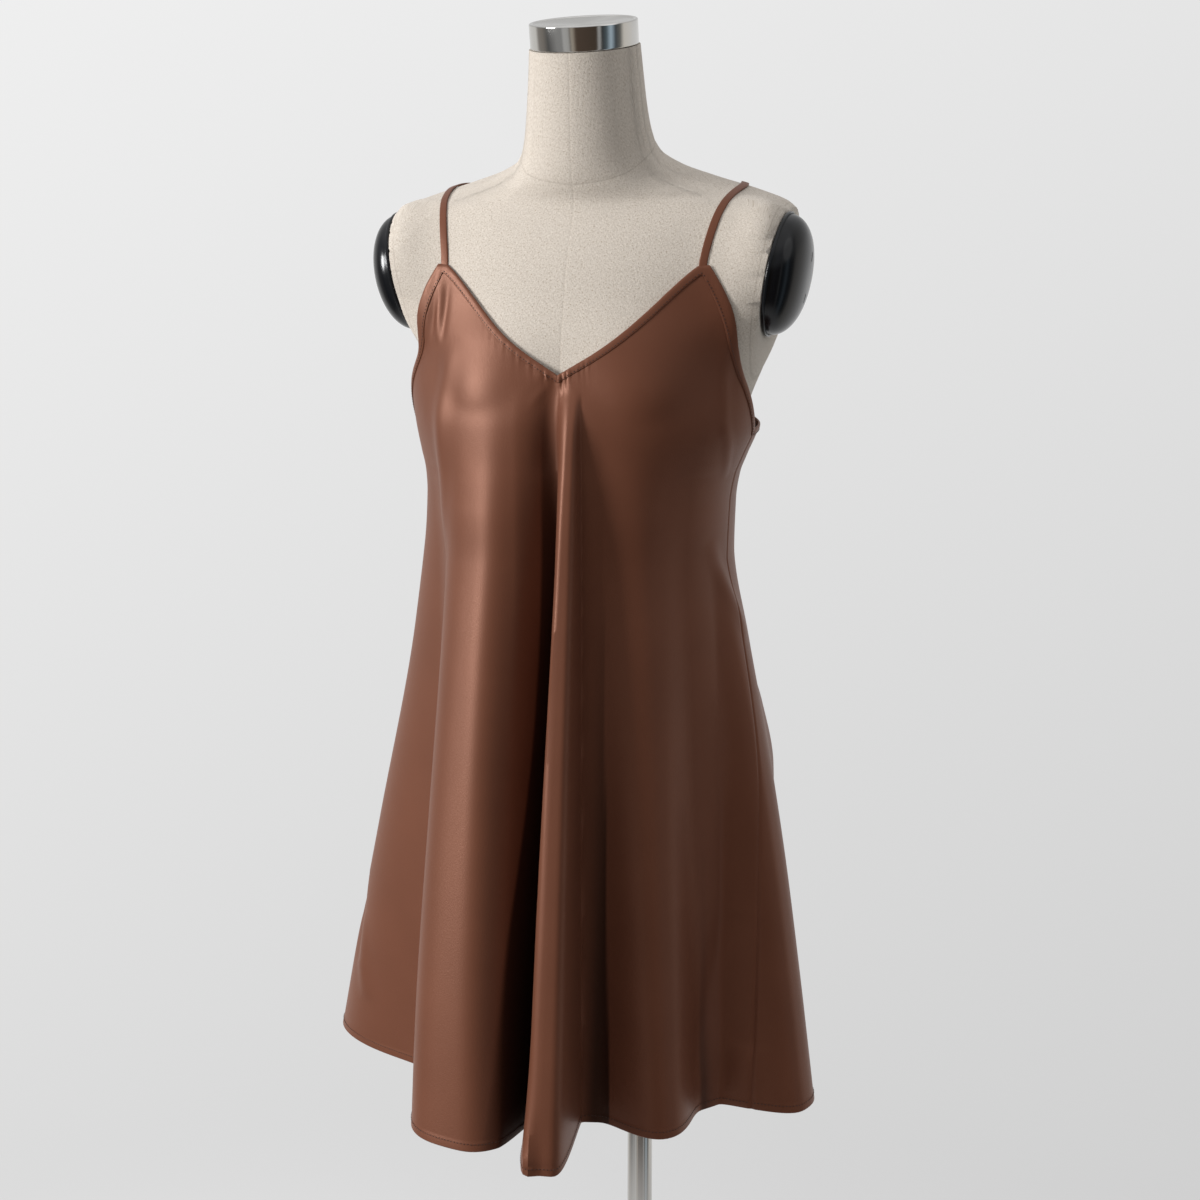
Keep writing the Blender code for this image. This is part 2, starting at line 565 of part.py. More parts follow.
def strap_line(shift, count):
    """A line over the left shoulder on the form, shift half widths from the strap's middle. Each
    half climbs from its end to the ridge, where the form is just as wide as the strap's x."""
    shoulder_x = STRAP_SHOULDER_X + shift * STRAP_WIDTH / 2
    fine = np.linspace(SHOULDER_LOW, SHOULDER_HIGH, 2 * FINE)
    ridge = fine[np.argmin(np.abs(form_point(90.0, fine)[:, 0] - BODY_AXIS[0] - shoulder_x))]
    t = np.linspace(0, 1, FINE)
    halves = []
    for middle, angle, end_height, half_angle in STRAP_ENDS:
        end = dress_point(np.array(angle + shift * half_angle), np.array(end_height))
        end_x = (end - BODY_AXIS)[0]
        height = ridge - (ridge - end_height) * (1 - t) ** 2
        x = shoulder_x + (end_x - shoulder_x) * (1 - t)
        theta = np.linspace(middle, 90.0, 2 * FINE)
        body = form_point(theta, height[:, None]) - BODY_AXIS
        reach = np.maximum.accumulate(body[..., 0], axis=1)
        halves.append(np.array([[np.interp(x[i], reach[i], body[i, :, axis]) for axis in range(3)]
                                for i in range(len(t))]))
    line = np.concatenate([halves[0], halves[1][::-1][1:]])
    length = np.concatenate([[0], np.cumsum(np.linalg.norm(np.diff(line, axis=0), axis=1))])
    even = np.linspace(0, length[-1], 2 * FINE)
    line = np.stack([np.interp(even, length, line[:, i]) for i in range(3)], -1)
    for _ in range(STRAP_ROUNDS):
        line[1:-1] = (line[:-2] + 2 * line[1:-1] + line[2:]) / 4
    keep = np.linspace(0, len(line) - 1, count)
    return np.stack([np.interp(keep, np.arange(len(line)), line[:, i]) for i in range(3)], -1)


STRAP_ROWS = 34
strip = np.stack([strap_line(shift, STRAP_ROWS) for shift in (-1, 0, 1)], axis=1)
strip += outward(strip) * (STRAP_WALL / 2 + 4 * GAP)
along = np.linspace(0, 1, STRAP_ROWS)[:, None, None]
for (_, angle, end_height, half_angle), row, away in zip(STRAP_ENDS, (0, -1), (along, 1 - along)):
    tips = angle + np.array([-1, 0, 1]) * half_angle
    seat = dress_point(tips, np.full(3, end_height + 1.5 * GAP)) - BODY_AXIS
    strip = strip + np.exp(-(away / STRAP_FADE) ** 2) * (seat - strip[row])
normal = outward(strip)
for side, name in ((1, "left"), (-1, "right")):
    mirror = np.array([side, 1, 1])
    wall(f"strap_{name}", BODY_AXIS + strip * mirror, normal * mirror, STRAP_WALL, SATIN)
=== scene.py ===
"""Looks of a short satin slip dress on a limbless linen dress form with a chrome pole stand.

Metres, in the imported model's frame: +Z up, the form faces -Y, its own left arm is at +X, and the
base's underside is at the origin. The form and the dress are radii round one upright body axis:
theta is the direction in degrees, 0 at the front and 90 at the left arm.
"""

import bmesh
import bpy
import numpy as np
from mathutils import Matrix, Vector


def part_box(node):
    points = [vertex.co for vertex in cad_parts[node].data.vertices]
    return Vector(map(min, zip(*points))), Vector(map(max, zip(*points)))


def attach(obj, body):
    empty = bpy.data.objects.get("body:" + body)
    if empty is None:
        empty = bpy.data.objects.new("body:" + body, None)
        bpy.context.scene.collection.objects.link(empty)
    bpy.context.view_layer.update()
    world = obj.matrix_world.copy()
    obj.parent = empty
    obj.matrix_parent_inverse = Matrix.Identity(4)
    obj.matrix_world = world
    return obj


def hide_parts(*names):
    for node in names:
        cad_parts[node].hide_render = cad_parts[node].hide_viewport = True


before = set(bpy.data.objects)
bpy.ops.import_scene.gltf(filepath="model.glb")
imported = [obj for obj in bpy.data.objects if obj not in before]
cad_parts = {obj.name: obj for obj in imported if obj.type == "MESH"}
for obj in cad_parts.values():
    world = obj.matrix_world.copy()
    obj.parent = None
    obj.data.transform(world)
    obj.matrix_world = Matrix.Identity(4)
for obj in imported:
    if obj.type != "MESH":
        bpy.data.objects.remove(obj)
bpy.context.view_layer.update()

# ------------------------------------------------------------------------------- base plate
# A round plate of 8 mm steel with a turned, eased edge and a fine brushed grain. It carries the
# whole stand on the floor.
_, base_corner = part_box("base")
BASE_RADIUS, BASE_TOP = base_corner.x, base_corner.z
BASE_EDGE = 0.0018
WELD = 2e-6                            # points closer than this are one point
SHARP_ANGLE = 40.0                     # edges bent more than this, in degrees, are shaded sharp


def unit(vectors):
    """The same directions with length 1."""
    return vectors / np.linalg.norm(vectors, axis=-1, keepdims=True)


def grid_quads(rows, columns, close_rows=False, close_columns=False):
    """Four-sided faces between the points of a grid, numbered row by row."""
    row, column = np.meshgrid(np.arange(rows - (not close_rows)),
                              np.arange(columns - (not close_columns)), indexing="ij")
    next_row, next_column = (row + 1) % rows, (column + 1) % columns
    corners = [(row, column), (row, next_column), (next_row, next_column), (next_row, column)]
    return np.stack([r * columns + c for r, c in corners], -1).reshape(-1, 4)


def new_object(name, data):
    """An object at the origin, linked to the scene."""
    made = bpy.data.objects.new(name, data)
    bpy.context.scene.collection.objects.link(made)
    return made


def close_up(mesh):
    """Joins the points of a closed mesh that meet, and turns its faces outwards."""
    work = bmesh.new()
    work.from_mesh(mesh)
    bmesh.ops.remove_doubles(work, verts=work.verts, dist=WELD)
    bmesh.ops.recalc_face_normals(work, faces=work.faces)
    work.to_mesh(mesh)
    work.free()


def add_piece(name, points, faces, finish, uv=None, marks=None):
    """One closed mesh object at the origin that rides on the root. uv is a pair of metres for
    each point and marks are named numbers for each point."""
    mesh = bpy.data.meshes.new(name)
    mesh.from_pydata(points.reshape(-1, 3).tolist(), [], faces.tolist())
    if uv is not None:
        corner = np.empty(len(mesh.loops), np.int32)
        mesh.loops.foreach_get("vertex_index", corner)
        layer = mesh.uv_layers.new(name="surface")
        layer.data.foreach_set("uv", uv.reshape(-1, 2)[corner].ravel().astype(np.float32))
    for mark, values in (marks or {}).items():
        attribute = mesh.attributes.new(mark, "FLOAT", "POINT")
        attribute.data.foreach_set("value", np.ravel(values).astype(np.float32))
    close_up(mesh)
    mesh.shade_smooth()
    mesh.set_sharp_from_angle(angle=np.radians(SHARP_ANGLE))
    mesh.materials.append(finish)
    piece = new_object(name, mesh)
    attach(piece, "root")
    return piece


def rounded(corners, radius, steps=5):
    """The corners of a profile as (radius, height), each inner corner replaced by an arc: the
    curve (1-t)^2 a + 2t(1-t) corner + t^2 b between two points a and b on its sides, which are
    radius away from it, or just under half the side where that is less."""
    corners = np.array(corners, float)
    before, corner, after = corners[:-2], corners[1:-1], corners[2:]
    reach = [np.minimum(radius, np.linalg.norm(end - corner, axis=1) / 2.2)[:, None]
             for end in (before, after)]
    start = corner + unit(before - corner) * reach[0]
    stop = corner + unit(after - corner) * reach[1]
    t = np.linspace(0, 1, steps)[:, None]
    arcs = [(1 - t) ** 2 * a + 2 * t * (1 - t) * c + t ** 2 * b
            for a, c, b in zip(start, corner, stop)]
    return np.concatenate([corners[:1], *arcs, corners[-1:]])


def turned(name, profile, finish, centre=(0, 0, 0), axes=np.eye(3), stretch=(1, 1),
           sides=128):
    """A profile of (radius, height) turned round axes[2] through centre: centre + radius (cos t
    across + sin t back) + height up. It begins and ends on the axis, or closes on itself."""
    turn = np.linspace(0, 2 * np.pi, sides + 1)
    radius, height = np.asarray(profile, float).T
    flat = (np.cos(turn)[:, None] * stretch[0] * axes[0]
            + np.sin(turn)[:, None] * stretch[1] * axes[1])
    points = np.asarray(centre) + radius[:, None, None] * flat + height[:, None, None] * axes[2]
    along = np.concatenate([[0], np.cumsum(np.hypot(np.diff(radius), np.diff(height)))])
    around = np.broadcast_to(turn / (2 * np.pi), points.shape[:2])
    uv = np.stack([around, np.broadcast_to(along[:, None], points.shape[:2])], -1)
    faces = grid_quads(len(radius), sides + 1, close_rows=radius[0] > 0)
    return add_piece(name, points, faces, finish, uv)


def add_node(tree, kind, inputs=None, **settings):
    """A shader node with its settings. Each input is a socket to link or a plain value."""
    made = tree.nodes.new("ShaderNode" + kind)
    for key, value in settings.items():
        setattr(made, key, value)
    for key, value in (inputs or {}).items():
        if isinstance(value, bpy.types.NodeSocket):
            tree.links.new(value, made.inputs[key])
        else:
            made.inputs[key].default_value = value
    return made


def ranged(tree, value, low, high, to_low=0.0, to_high=1.0, smooth=False):
    """The value moved from the range low to high to another, straight or with eased ends."""
    ends = {"From Min": low, "From Max": high, "To Min": to_low, "To Max": to_high}
    return add_node(tree, "MapRange", {"Value": value, **ends}, interpolation_type=(
        "SMOOTHSTEP" if smooth else "LINEAR")).outputs["Result"]


def noise(tree, place, scale, detail=2.0, roughness=0.5):
    """Cloudy noise from 0 to 1, about one patch to each 1 / scale metres."""
    return add_node(tree, "TexNoise", {"Vector": place, "Scale": scale, "Detail": detail,
                                       "Roughness": roughness}).outputs["Fac"]


def stretched(tree, place, stretch):
    """The coordinates times a stretch for each axis."""
    return add_node(tree, "VectorMath", {0: place, 1: stretch}, operation="MULTIPLY").outputs[0]


def bump(tree, height, distance, **under):
    """The normal of a surface raised by height times distance, over another normal if given."""
    return add_node(tree, "Bump", {"Height": height, "Distance": distance, "Strength": 1.0,
                                   **under}).outputs["Normal"]


def new_finish(name, color, roughness, metallic=0.0, **sockets):
    """A material with one Principled shader, and that shader's plain values."""
    finish = bpy.data.materials.new(name)
    finish.use_nodes = True
    shader = finish.node_tree.nodes["Principled BSDF"]
    shader.inputs["Base Color"].default_value = (*color, 1)
    shader.inputs["Roughness"].default_value = roughness
    shader.inputs["Metallic"].default_value = metallic
    for key, value in sockets.items():
        shader.inputs[key.replace("_", " ")].default_value = value
    return finish, finish.node_tree, shader


def new_effect(name, inputs, outputs):
    """An empty shader node group, its input node and its output node. Sockets are (name, kind)."""
    tree = bpy.data.node_groups.new(name, "ShaderNodeTree")
    for in_out, sockets in (("INPUT", inputs), ("OUTPUT", outputs)):
        for label, kind in sockets:
            tree.interface.new_socket(label, in_out=in_out, socket_type="NodeSocket" + kind)
    return tree, tree.nodes.new("NodeGroupInput"), tree.nodes.new("NodeGroupOutput")


def use_effect(tree, effect, inputs):
    """The effect placed in a material with its own values."""
    return add_node(tree, "Group", inputs, node_tree=effect)


def build_polish_lines():
    """Fine lines of polishing or turning, which run along the first coordinate, and soft
    smudges. Lines = noise stretched by Stretch, Smudge = wide noise, both from 0 to 1."""
    tree, given, result = new_effect(
        "polish_lines", [("Vector", "Vector"), ("Stretch", "Vector"), ("Smudge Scale", "Float")],
        [("Lines", "Float"), ("Smudge", "Float")])
    place = given.outputs["Vector"]
    lines = noise(tree, stretched(tree, place, given.outputs["Stretch"]), scale=1.0, detail=3.0,
                  roughness=0.6)
    smudge = noise(tree, place, given.outputs["Smudge Scale"], detail=4.0)
    tree.links.new(lines, result.inputs["Lines"])
    tree.links.new(smudge, result.inputs["Smudge"])
    return tree


polish_lines = build_polish_lines()
SMUDGE_SCALE, SMUDGE_LOW, SMUDGE_HIGH = 9.0, 0.35, 0.75


def metal_finish(name, color, smooth, rough, stretch, depth, metallic=1.0, **sockets):
    """A plated or polished surface: roughness between smooth and rough by the smudges, and the
    lines as a bump depth metres high."""
    finish, tree, shader = new_finish(name, color, smooth, metallic, **sockets)
    place = add_node(tree, "TexCoord")
    wear = use_effect(tree, polish_lines, {"Vector": place.outputs["UV"], "Stretch": stretch,
                                           "Smudge Scale": SMUDGE_SCALE})
    gloss = ranged(tree, wear.outputs["Smudge"], SMUDGE_LOW, SMUDGE_HIGH, smooth, rough)
    tree.links.new(gloss, shader.inputs["Roughness"])
    tree.links.new(bump(tree, wear.outputs["Lines"], depth), shader.inputs["Normal"])
    return finish


brushed_steel = metal_finish("brushed_steel", (0.58, 0.58, 0.59), 0.30, 0.42,
                             (3.0, 900.0, 1.0), 0.00004)
base = turned("base_plate", rounded([
    (0, 0), (BASE_RADIUS, 0), (BASE_RADIUS, BASE_TOP), (0, BASE_TOP),
], BASE_EDGE), brushed_steel, sides=192)
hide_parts("base")

# ------------------------------------------------------------------- collar, pole and socket
# A chrome-plated steel tube, pushed into a turned collar on the base and into a flanged socket
# that is screwed to the form's wooden underside.
pole_low, pole_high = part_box("pole")
POLE_RADIUS = pole_high.x
PLATING_EDGE = 0.0008
chrome = metal_finish("bright_chrome", (0.55, 0.535, 0.51), 0.05, 0.16, (40.0, 14.0, 1.0),
                      0.000010)
pole = turned("pole_tube", rounded([
    (0, pole_low.z), (POLE_RADIUS, pole_low.z), (POLE_RADIUS, pole_high.z), (0, pole_high.z),
], PLATING_EDGE), chrome, sides=96)
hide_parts("pole")

collar_low, collar_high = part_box("base_collar")
COLLAR_FLANGE = collar_high.x
COLLAR_RADIUS, COLLAR_EDGE = 0.020, 0.0016
BORE_RADIUS = POLE_RADIUS + 0.0003
rim_top, slope_top = collar_low.z + 0.004, collar_low.z + 0.0065
collar = turned("pole_collar", rounded([
    (BORE_RADIUS, collar_low.z + 0.001), (BORE_RADIUS, collar_low.z),
    (COLLAR_FLANGE, collar_low.z), (COLLAR_FLANGE, rim_top),
    (COLLAR_RADIUS, slope_top), (COLLAR_RADIUS, collar_high.z),
    (BORE_RADIUS, collar_high.z), (BORE_RADIUS, rim_top),
], COLLAR_EDGE), chrome, sides=96)
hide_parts("base_collar")

socket_low, socket_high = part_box("pole_socket")
FLANGE_RADIUS = socket_high.x
SOCKET_RADIUS, SOCKET_EDGE = 0.019, 0.0012
FLANGE_THICKNESS, FLANGE_SLOPE = 0.004, 0.002
ROOF_GAP = 0.0003                      # between the bore's end and the flange's underside
flange_low = socket_high.z - FLANGE_THICKNESS
bore_end = flange_low - ROOF_GAP
socket = turned("pole_socket_tube", rounded([
    (0, socket_high.z), (FLANGE_RADIUS, socket_high.z), (FLANGE_RADIUS, flange_low),
    (SOCKET_RADIUS, flange_low - FLANGE_SLOPE), (SOCKET_RADIUS, socket_low.z),
    (BORE_RADIUS, socket_low.z), (BORE_RADIUS, bore_end), (0, bore_end),
], SOCKET_EDGE), brushed_steel, sides=96)
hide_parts("pole_socket")

# ------------------------------------------------------------------------------ dress form
# A foam body covered with natural linen: two halves sewn down the centre front and centre back,
# a neck sewn on round its base, and a flat face at each shoulder where an arm would fit.
BODY_AXIS = np.array([-0.017, -0.10, 0.0])


def table(columns, rows):
    """Named columns of numbers, one row for each section or fold."""
    return dict(zip(columns.split(), np.array(rows, float).T))


# forward moves the middle of a section towards the front, tilt tips it forwards, and a square
# of 2 makes that half an ellipse, more a squarer oval.
FORM = table("height forward tilt half_width front back front_square back_square", [
    (0.735, 0.000, 0.0, 0.158, 0.066, 0.146, 2.2, 2.2),
    (0.800, 0.000, 0.0, 0.164, 0.078, 0.150, 2.3, 2.3),
    (0.870, 0.000, 0.0, 0.163, 0.087, 0.143, 2.3, 2.3),
    (0.930, 0.000, 0.0, 0.152, 0.088, 0.125, 2.3, 2.3),
    (0.990, 0.000, 0.0, 0.132, 0.083, 0.106, 2.2, 2.2),
    (1.045, 0.000, 0.0, 0.116, 0.078, 0.092, 2.2, 2.2),
    (1.100, 0.000, 0.0, 0.117, 0.083, 0.092, 2.2, 2.2),
    (1.160, 0.000, 0.0, 0.126, 0.092, 0.097, 2.2, 2.2),
    (1.215, 0.000, 0.0, 0.142, 0.101, 0.104, 2.2, 2.4),
    (1.262, 0.000, 0.0, 0.163, 0.098, 0.108, 2.1, 2.6),
    (1.300, 0.000, 0.0, 0.184, 0.090, 0.107, 2.0, 2.7),
    (1.325, 0.000, 0.0, 0.192, 0.084, 0.103, 2.0, 2.7),
    (1.350, -0.002, 0.0, 0.193, 0.077, 0.093, 2.0, 2.6),
    (1.370, -0.005, 1.0, 0.188, 0.071, 0.080, 2.0, 2.4),
    (1.383, -0.007, 4.0, 0.175, 0.067, 0.070, 2.0, 2.2),
    (1.393, -0.007, 8.0, 0.148, 0.064, 0.062, 2.0, 2.1),
    (1.401, -0.001, 13.0, 0.117, 0.062, 0.057, 2.0, 2.0),
    (1.409, 0.007, 18.0, 0.087, 0.060, 0.054, 2.0, 2.0),
    (1.420, 0.014, 21.0, 0.066, 0.057, 0.054, 2.0, 2.0),
    (1.435, 0.018, 20.0, 0.0580, 0.054, 0.052, 2.0, 2.0),
    (1.460, 0.022, 16.5, 0.0535, 0.051, 0.050, 2.0, 2.0),
    (1.490, 0.025, 12.8, 0.0505, 0.049, 0.049, 2.0, 2.0),
    (1.5155, 0.028, 11.3, 0.0485, 0.0475, 0.0475, 2.0, 2.0),
])
FORM_BOTTOM, FORM_TOP = FORM["height"][0], FORM["height"][-1]
# Soft bell-shaped swells on both sides of the form: the bust cups and the fronts of the shoulders.
SWELLS = table("angle height out spread tall", [
    (37.0, 1.205, 0.016, 24.0, 0.062),
    (73.0, 1.318, 0.024, 8.0, 0.045),
])
HALVES = "front back front_square back_square"


def smooth_line(at, values, x):
    """A line through the rows that never swings past them: a cubic piece between each two
    rows, with the slope at a row the weighted harmonic mean of the slopes beside it."""
    x = np.clip(x, at[0], at[-1])
    step = np.diff(at)
    slope = np.diff(values) / step
    same_way = slope[:-1] * slope[1:] > 0
    before, after = 2 * step[1:] + step[:-1], step[1:] + 2 * step[:-1]
    safe = np.where(slope == 0, 1.0, slope)
    mean = (before + after) / (before / safe[:-1] + after / safe[1:])
    grade = np.concatenate([slope[:1], np.where(same_way, mean, 0.0), slope[-1:]])
    i = np.clip(np.searchsorted(at, x, side="right") - 1, 0, len(step) - 1)
    t = (x - at[i]) / step[i]
    return ((1 + 2 * t) * (1 - t) ** 2 * values[i] + t * (1 - t) ** 2 * step[i] * grade[i]
            + t * t * (3 - 2 * t) * values[i + 1] + t * t * (t - 1) * step[i] * grade[i + 1])


def wrapped(theta):
    """The same direction between -180 and 180 degrees."""
    return (np.asarray(theta, float) + 180) % 360 - 180


def oval(theta, right, left, front, back, front_square, back_square):
    """Radius of an oval with its own reach towards each of its four sides."""
    side = np.sin(np.radians(theta))
    ahead = np.cos(np.radians(theta))
    across = np.abs(side) / np.where(side > 0, left, right)
    along = np.abs(ahead) / np.where(ahead > 0, front, back)
    square = np.where(ahead > 0, front_square, back_square)
    return (across ** square + along ** square) ** (-1 / square)


def section(rows, names, height):
    """The named columns of a table at a height, by the smooth line through its rows."""
    return [smooth_line(rows["height"], rows[name], height) for name in names.split()]


def form_radius(theta, height):
    """The form's oval with its swells, each out exp(-(off / spread)^2) in both directions."""
    total = oval(theta, *section(FORM, "half_width half_width " + HALVES, height))
    away = np.abs(wrapped(theta))
    for angle, middle, out, spread, tall in zip(*SWELLS.values()):
        total = total + out * np.exp(-((away - angle) / spread) ** 2
                                     - ((height - middle) / tall) ** 2)
    return total


def form_point(theta, height):
    """A point of the form: its oval, moved forward and tipped about its own cross axis."""
    forward, tilt = section(FORM, "forward tilt", height)
    radius = form_radius(theta, height)
    across = radius * np.sin(np.radians(theta))
    ahead = radius * np.cos(np.radians(theta))
    tip = np.radians(tilt)
    return BODY_AXIS + np.stack(
        [across, -forward - ahead * np.cos(tip), height - ahead * np.sin(tip)], -1)


def outward(grid):
    """Unit normals of a grid of points, from the directions of its columns and rows."""
    return unit(np.cross(np.gradient(grid, axis=1), np.gradient(grid, axis=0)))


def run_length(points, axis=0):
    """Distance travelled along the points of each line of a grid."""
    step = np.linalg.norm(np.diff(points, axis=axis), axis=-1)
    return np.concatenate([np.zeros_like(np.take(step, [0], axis)), np.cumsum(step, axis)], axis)


ARM_PLATE_X, ARM_PLATE_FORWARD, ARM_PLATE_HEIGHT, ARM_PLATE_TILT = 0.170, 0.014, 1.322, 10.0


def arm_plate(side):
    """Middle of the flat face for an arm, and its forward, upward and outward directions."""
    tip = np.radians(ARM_PLATE_TILT)
    centre = BODY_AXIS + np.array([side * ARM_PLATE_X, -ARM_PLATE_FORWARD, ARM_PLATE_HEIGHT])
    up = np.array([side * np.sin(tip), 0, np.cos(tip)])
    out = np.array([side * np.cos(tip), 0, -np.sin(tip)])
    return centre, np.array([np.cross(up, out), up, out])


FORM_COLUMNS, FORM_ROWS = 288, 280
PLATE_EDGE = 0.0016
# The cover is stretched out to an oval rim round each flat face, from this far inwards.
PLATE_RIM, PLATE_RIM_REACH = (0.0503, 0.0548), 0.028


def meet_plate(grid, past, middle, axes, directions=360, passes=20):
    """Moves the nearest points of a grid onto the line where it meets a flat face. Gives the
    grid and the line's distance from the face's middle, as a share of the rim by direction,
    evened out by averaging each direction with its neighbours."""
    grid, past, found = grid.copy(), past.copy(), []
    for axis in (1, 0):
        first, second = (tuple(slice(*cut) if i == axis else slice(None) for i in range(2))
                         for cut in ((None, -1), (1, None)))
        near, far = past[first], past[second]
        rows, columns = np.nonzero(near * far < 0)
        at = (near / np.where(near == far, 1, near - far))[rows, columns][:, None]
        met = grid[first][rows, columns] * (1 - at) + grid[second][rows, columns] * at
        found.append(met)
        to_second = at[:, 0] > 0.5
        rows, columns = rows + to_second * (axis == 0), columns + to_second * (axis == 1)
        grid[rows, columns], past[rows, columns] = met, 0
    ahead, up, _ = ((np.concatenate(found) - middle) @ axes.T).T
    ahead, up = ahead / PLATE_RIM[0], up / PLATE_RIM[1]
    turn, order = np.arctan2(up, ahead), np.argsort(np.arctan2(up, ahead))
    even_turn = np.linspace(-np.pi, np.pi, directions, endpoint=False)
    line = np.interp(even_turn, turn[order], np.hypot(ahead, up)[order], period=2 * np.pi)
    for _ in range(passes):
        line = (np.roll(line, 1) + 2 * line + np.roll(line, -1)) / 4
    return grid, past, even_turn, line


fine_heights = np.linspace(FORM_BOTTOM, FORM_TOP, 3000)
climb = sum(run_length(form_point(angle, fine_heights)) for angle in (0.0, 90.0))
form_heights = np.interp(np.linspace(0, climb[-1], FORM_ROWS), climb, fine_heights)
# Columns crowd together at the centre front and back, where the halves are sewn.
SEAM_CROWD = 0.42
even = np.linspace(-180, 180, FORM_COLUMNS + 1)
form_angles = even - SEAM_CROWD * np.degrees(np.sin(2 * np.radians(even)))
cover = form_point(form_angles, form_heights[:, None])
# The stretched cover rounds off the change from the chest to the neck, in the front third.
SHOULDER, SHOULDER_SPREAD, STRETCHED, STRETCH_PASSES = 1.395, 0.030, 0.5, 150
give = STRETCHED * np.exp(-((form_heights[1:-1, None] - SHOULDER) / SHOULDER_SPREAD) ** 4)
give = (give * np.clip(2 * np.cos(np.radians(form_angles)) - 1, 0, 1))[..., None]
for _ in range(STRETCH_PASSES):
    cover[1:-1] += give * ((cover[:-2] + cover[2:]) / 2 - cover[1:-1])
beyond = np.full(cover.shape[:2], -1.0)
for side in (1, -1):
    plate_middle, plate_axes = arm_plate(side)
    past = (cover - plate_middle) @ plate_axes[2]
    cover, past, even_turn, line = meet_plate(cover, past, plate_middle, plate_axes)
    cover = cover - ((past + np.hypot(past, PLATE_EDGE)) / 2)[..., None] * plate_axes[2]
    ahead, up, out = np.moveaxis((cover - plate_middle) @ plate_axes.T, -1, 0)
    meets = np.interp(np.arctan2(up / PLATE_RIM[1], ahead / PLATE_RIM[0]), even_turn, line,
                      period=2 * np.pi)
    push = 1 + np.maximum(1 / meets - 1, 0) * np.exp(-(out / PLATE_RIM_REACH) ** 2)
    cover = plate_middle + np.stack([ahead * push, up * push, out], -1) @ plate_axes
    beyond = np.maximum(beyond, past)

# Height of the seam round the base of the neck, measured on the neck's own tipped sections.
NECK_SEAM = table("angle height", [
    (0, 1.4120), (26, 1.4158), (46, 1.4208), (65, 1.4262), (90, 1.4300), (135, 1.4330),
    (180, 1.4340),
])
neck_away = form_heights[:, None] - smooth_line(NECK_SEAM["angle"], NECK_SEAM["height"],
                                                np.abs(form_angles))
slope = np.gradient(run_length(cover), axis=0) / np.gradient(form_heights)[:, None]
neck_away = neck_away * slope
# The sewn lines sink in: the neck's seam and one round each arm plate by their whole depth, and
# the seam of the two halves by a share of it.
SEAM_SINK, SEAM_HALF, HALVES_SHARE, PLATE_SEAM = 0.0004, 0.0012, 0.3, 0.0055
across = cover[..., 0] - BODY_AXIS[0]
plate_away = beyond + PLATE_SEAM
sink = (HALVES_SHARE * np.exp(-(across / SEAM_HALF) ** 2) + np.exp(-(neck_away / SEAM_HALF) ** 2)
        + np.exp(-(plate_away / SEAM_HALF) ** 2))
cover = cover - outward(cover) * (SEAM_SINK * np.clip(sink, 0, 1))[..., None]
# The underside and the top draw in to the axis with a rounded edge.
UNDER_EDGE = 0.0012
shrink = np.array([0.0, 0.3, 0.6, 0.9, 0.97])[:, None, None]
low_middle = np.array([BODY_AXIS[0], cover[0, :, 1].mean(), FORM_BOTTOM])
top_middle = cover[-1].mean(axis=0)
cover[0, :, 2] = FORM_BOTTOM + UNDER_EDGE
under = low_middle + (cover[:1] - low_middle) * shrink
under[..., 2] = FORM_BOTTOM
lid = top_middle + (cover[-1:] - top_middle) * shrink[::-1]
cover = np.concatenate([under, cover, lid])
extra = ((len(under), len(lid)), (0, 0))
cover_uv = np.stack([run_length(cover, 1), run_length(cover)], -1)
cover_uv[..., 0] -= cover_uv[:, FORM_COLUMNS // 2, 0][:, None]
cover_marks = {mark: np.pad(away, extra, constant_values=1.0) for mark, away in (
    ("across", across), ("neck", neck_away), ("plate", plate_away))}


def math_of(tree, operation, *values):
    """The result of one operation on plain numbers or sockets."""
    return add_node(tree, "Math", dict(enumerate(values)), operation=operation).outputs[0]


def build_woven():
    """Plain weave. Height = the sum of two sines, one for each set of threads at Pitch metres.
    Slubs = the sum of two noises, each drawn out along one set, and marks the thick and thin
    places. Both are moved to the range 0 to 1."""
    tree, given, result = new_effect(
        "woven_threads", [("Vector", "Vector"), ("Pitch", "Float"), ("Slub Scale", "Float")],
        [("Height", "Float"), ("Slubs", "Float")])
    place = given.outputs["Vector"]
    split = add_node(tree, "SeparateXYZ", {"Vector": place})
    heights, slubs = [], []
    for axis, stretch in (("X", (1.0, 0.30, 1.0)), ("Y", (0.30, 1.0, 1.0))):
        turns = math_of(tree, "DIVIDE", split.outputs[axis], given.outputs["Pitch"])
        heights.append(math_of(tree, "SINE", math_of(tree, "MULTIPLY", turns, 2 * np.pi)))
        slubs.append(noise(tree, stretched(tree, place, stretch), given.outputs["Slub Scale"]))
    height = ranged(tree, math_of(tree, "ADD", *heights), -2.0, 2.0)
    tone = ranged(tree, math_of(tree, "ADD", *slubs), 0.75, 1.25)
    tree.links.new(height, result.inputs["Height"])
    tree.links.new(tone, result.inputs["Slubs"])
    return tree


def build_sewn_line():
    """A sewn line where Distance, in metres, is 0: Line is 1 on it and 0 beyond Half Width."""
    tree, given, result = new_effect(
        "sewn_line", [("Distance", "Float"), ("Half Width", "Float")], [("Line", "Float")])
    away = math_of(tree, "ABSOLUTE", given.outputs["Distance"])
    line = ranged(tree, away, 0.0, given.outputs["Half Width"], 1.0, 0.0, smooth=True)
    tree.links.new(line, result.inputs["Line"])
    return tree


woven_threads = build_woven()
sewn_line = build_sewn_line()

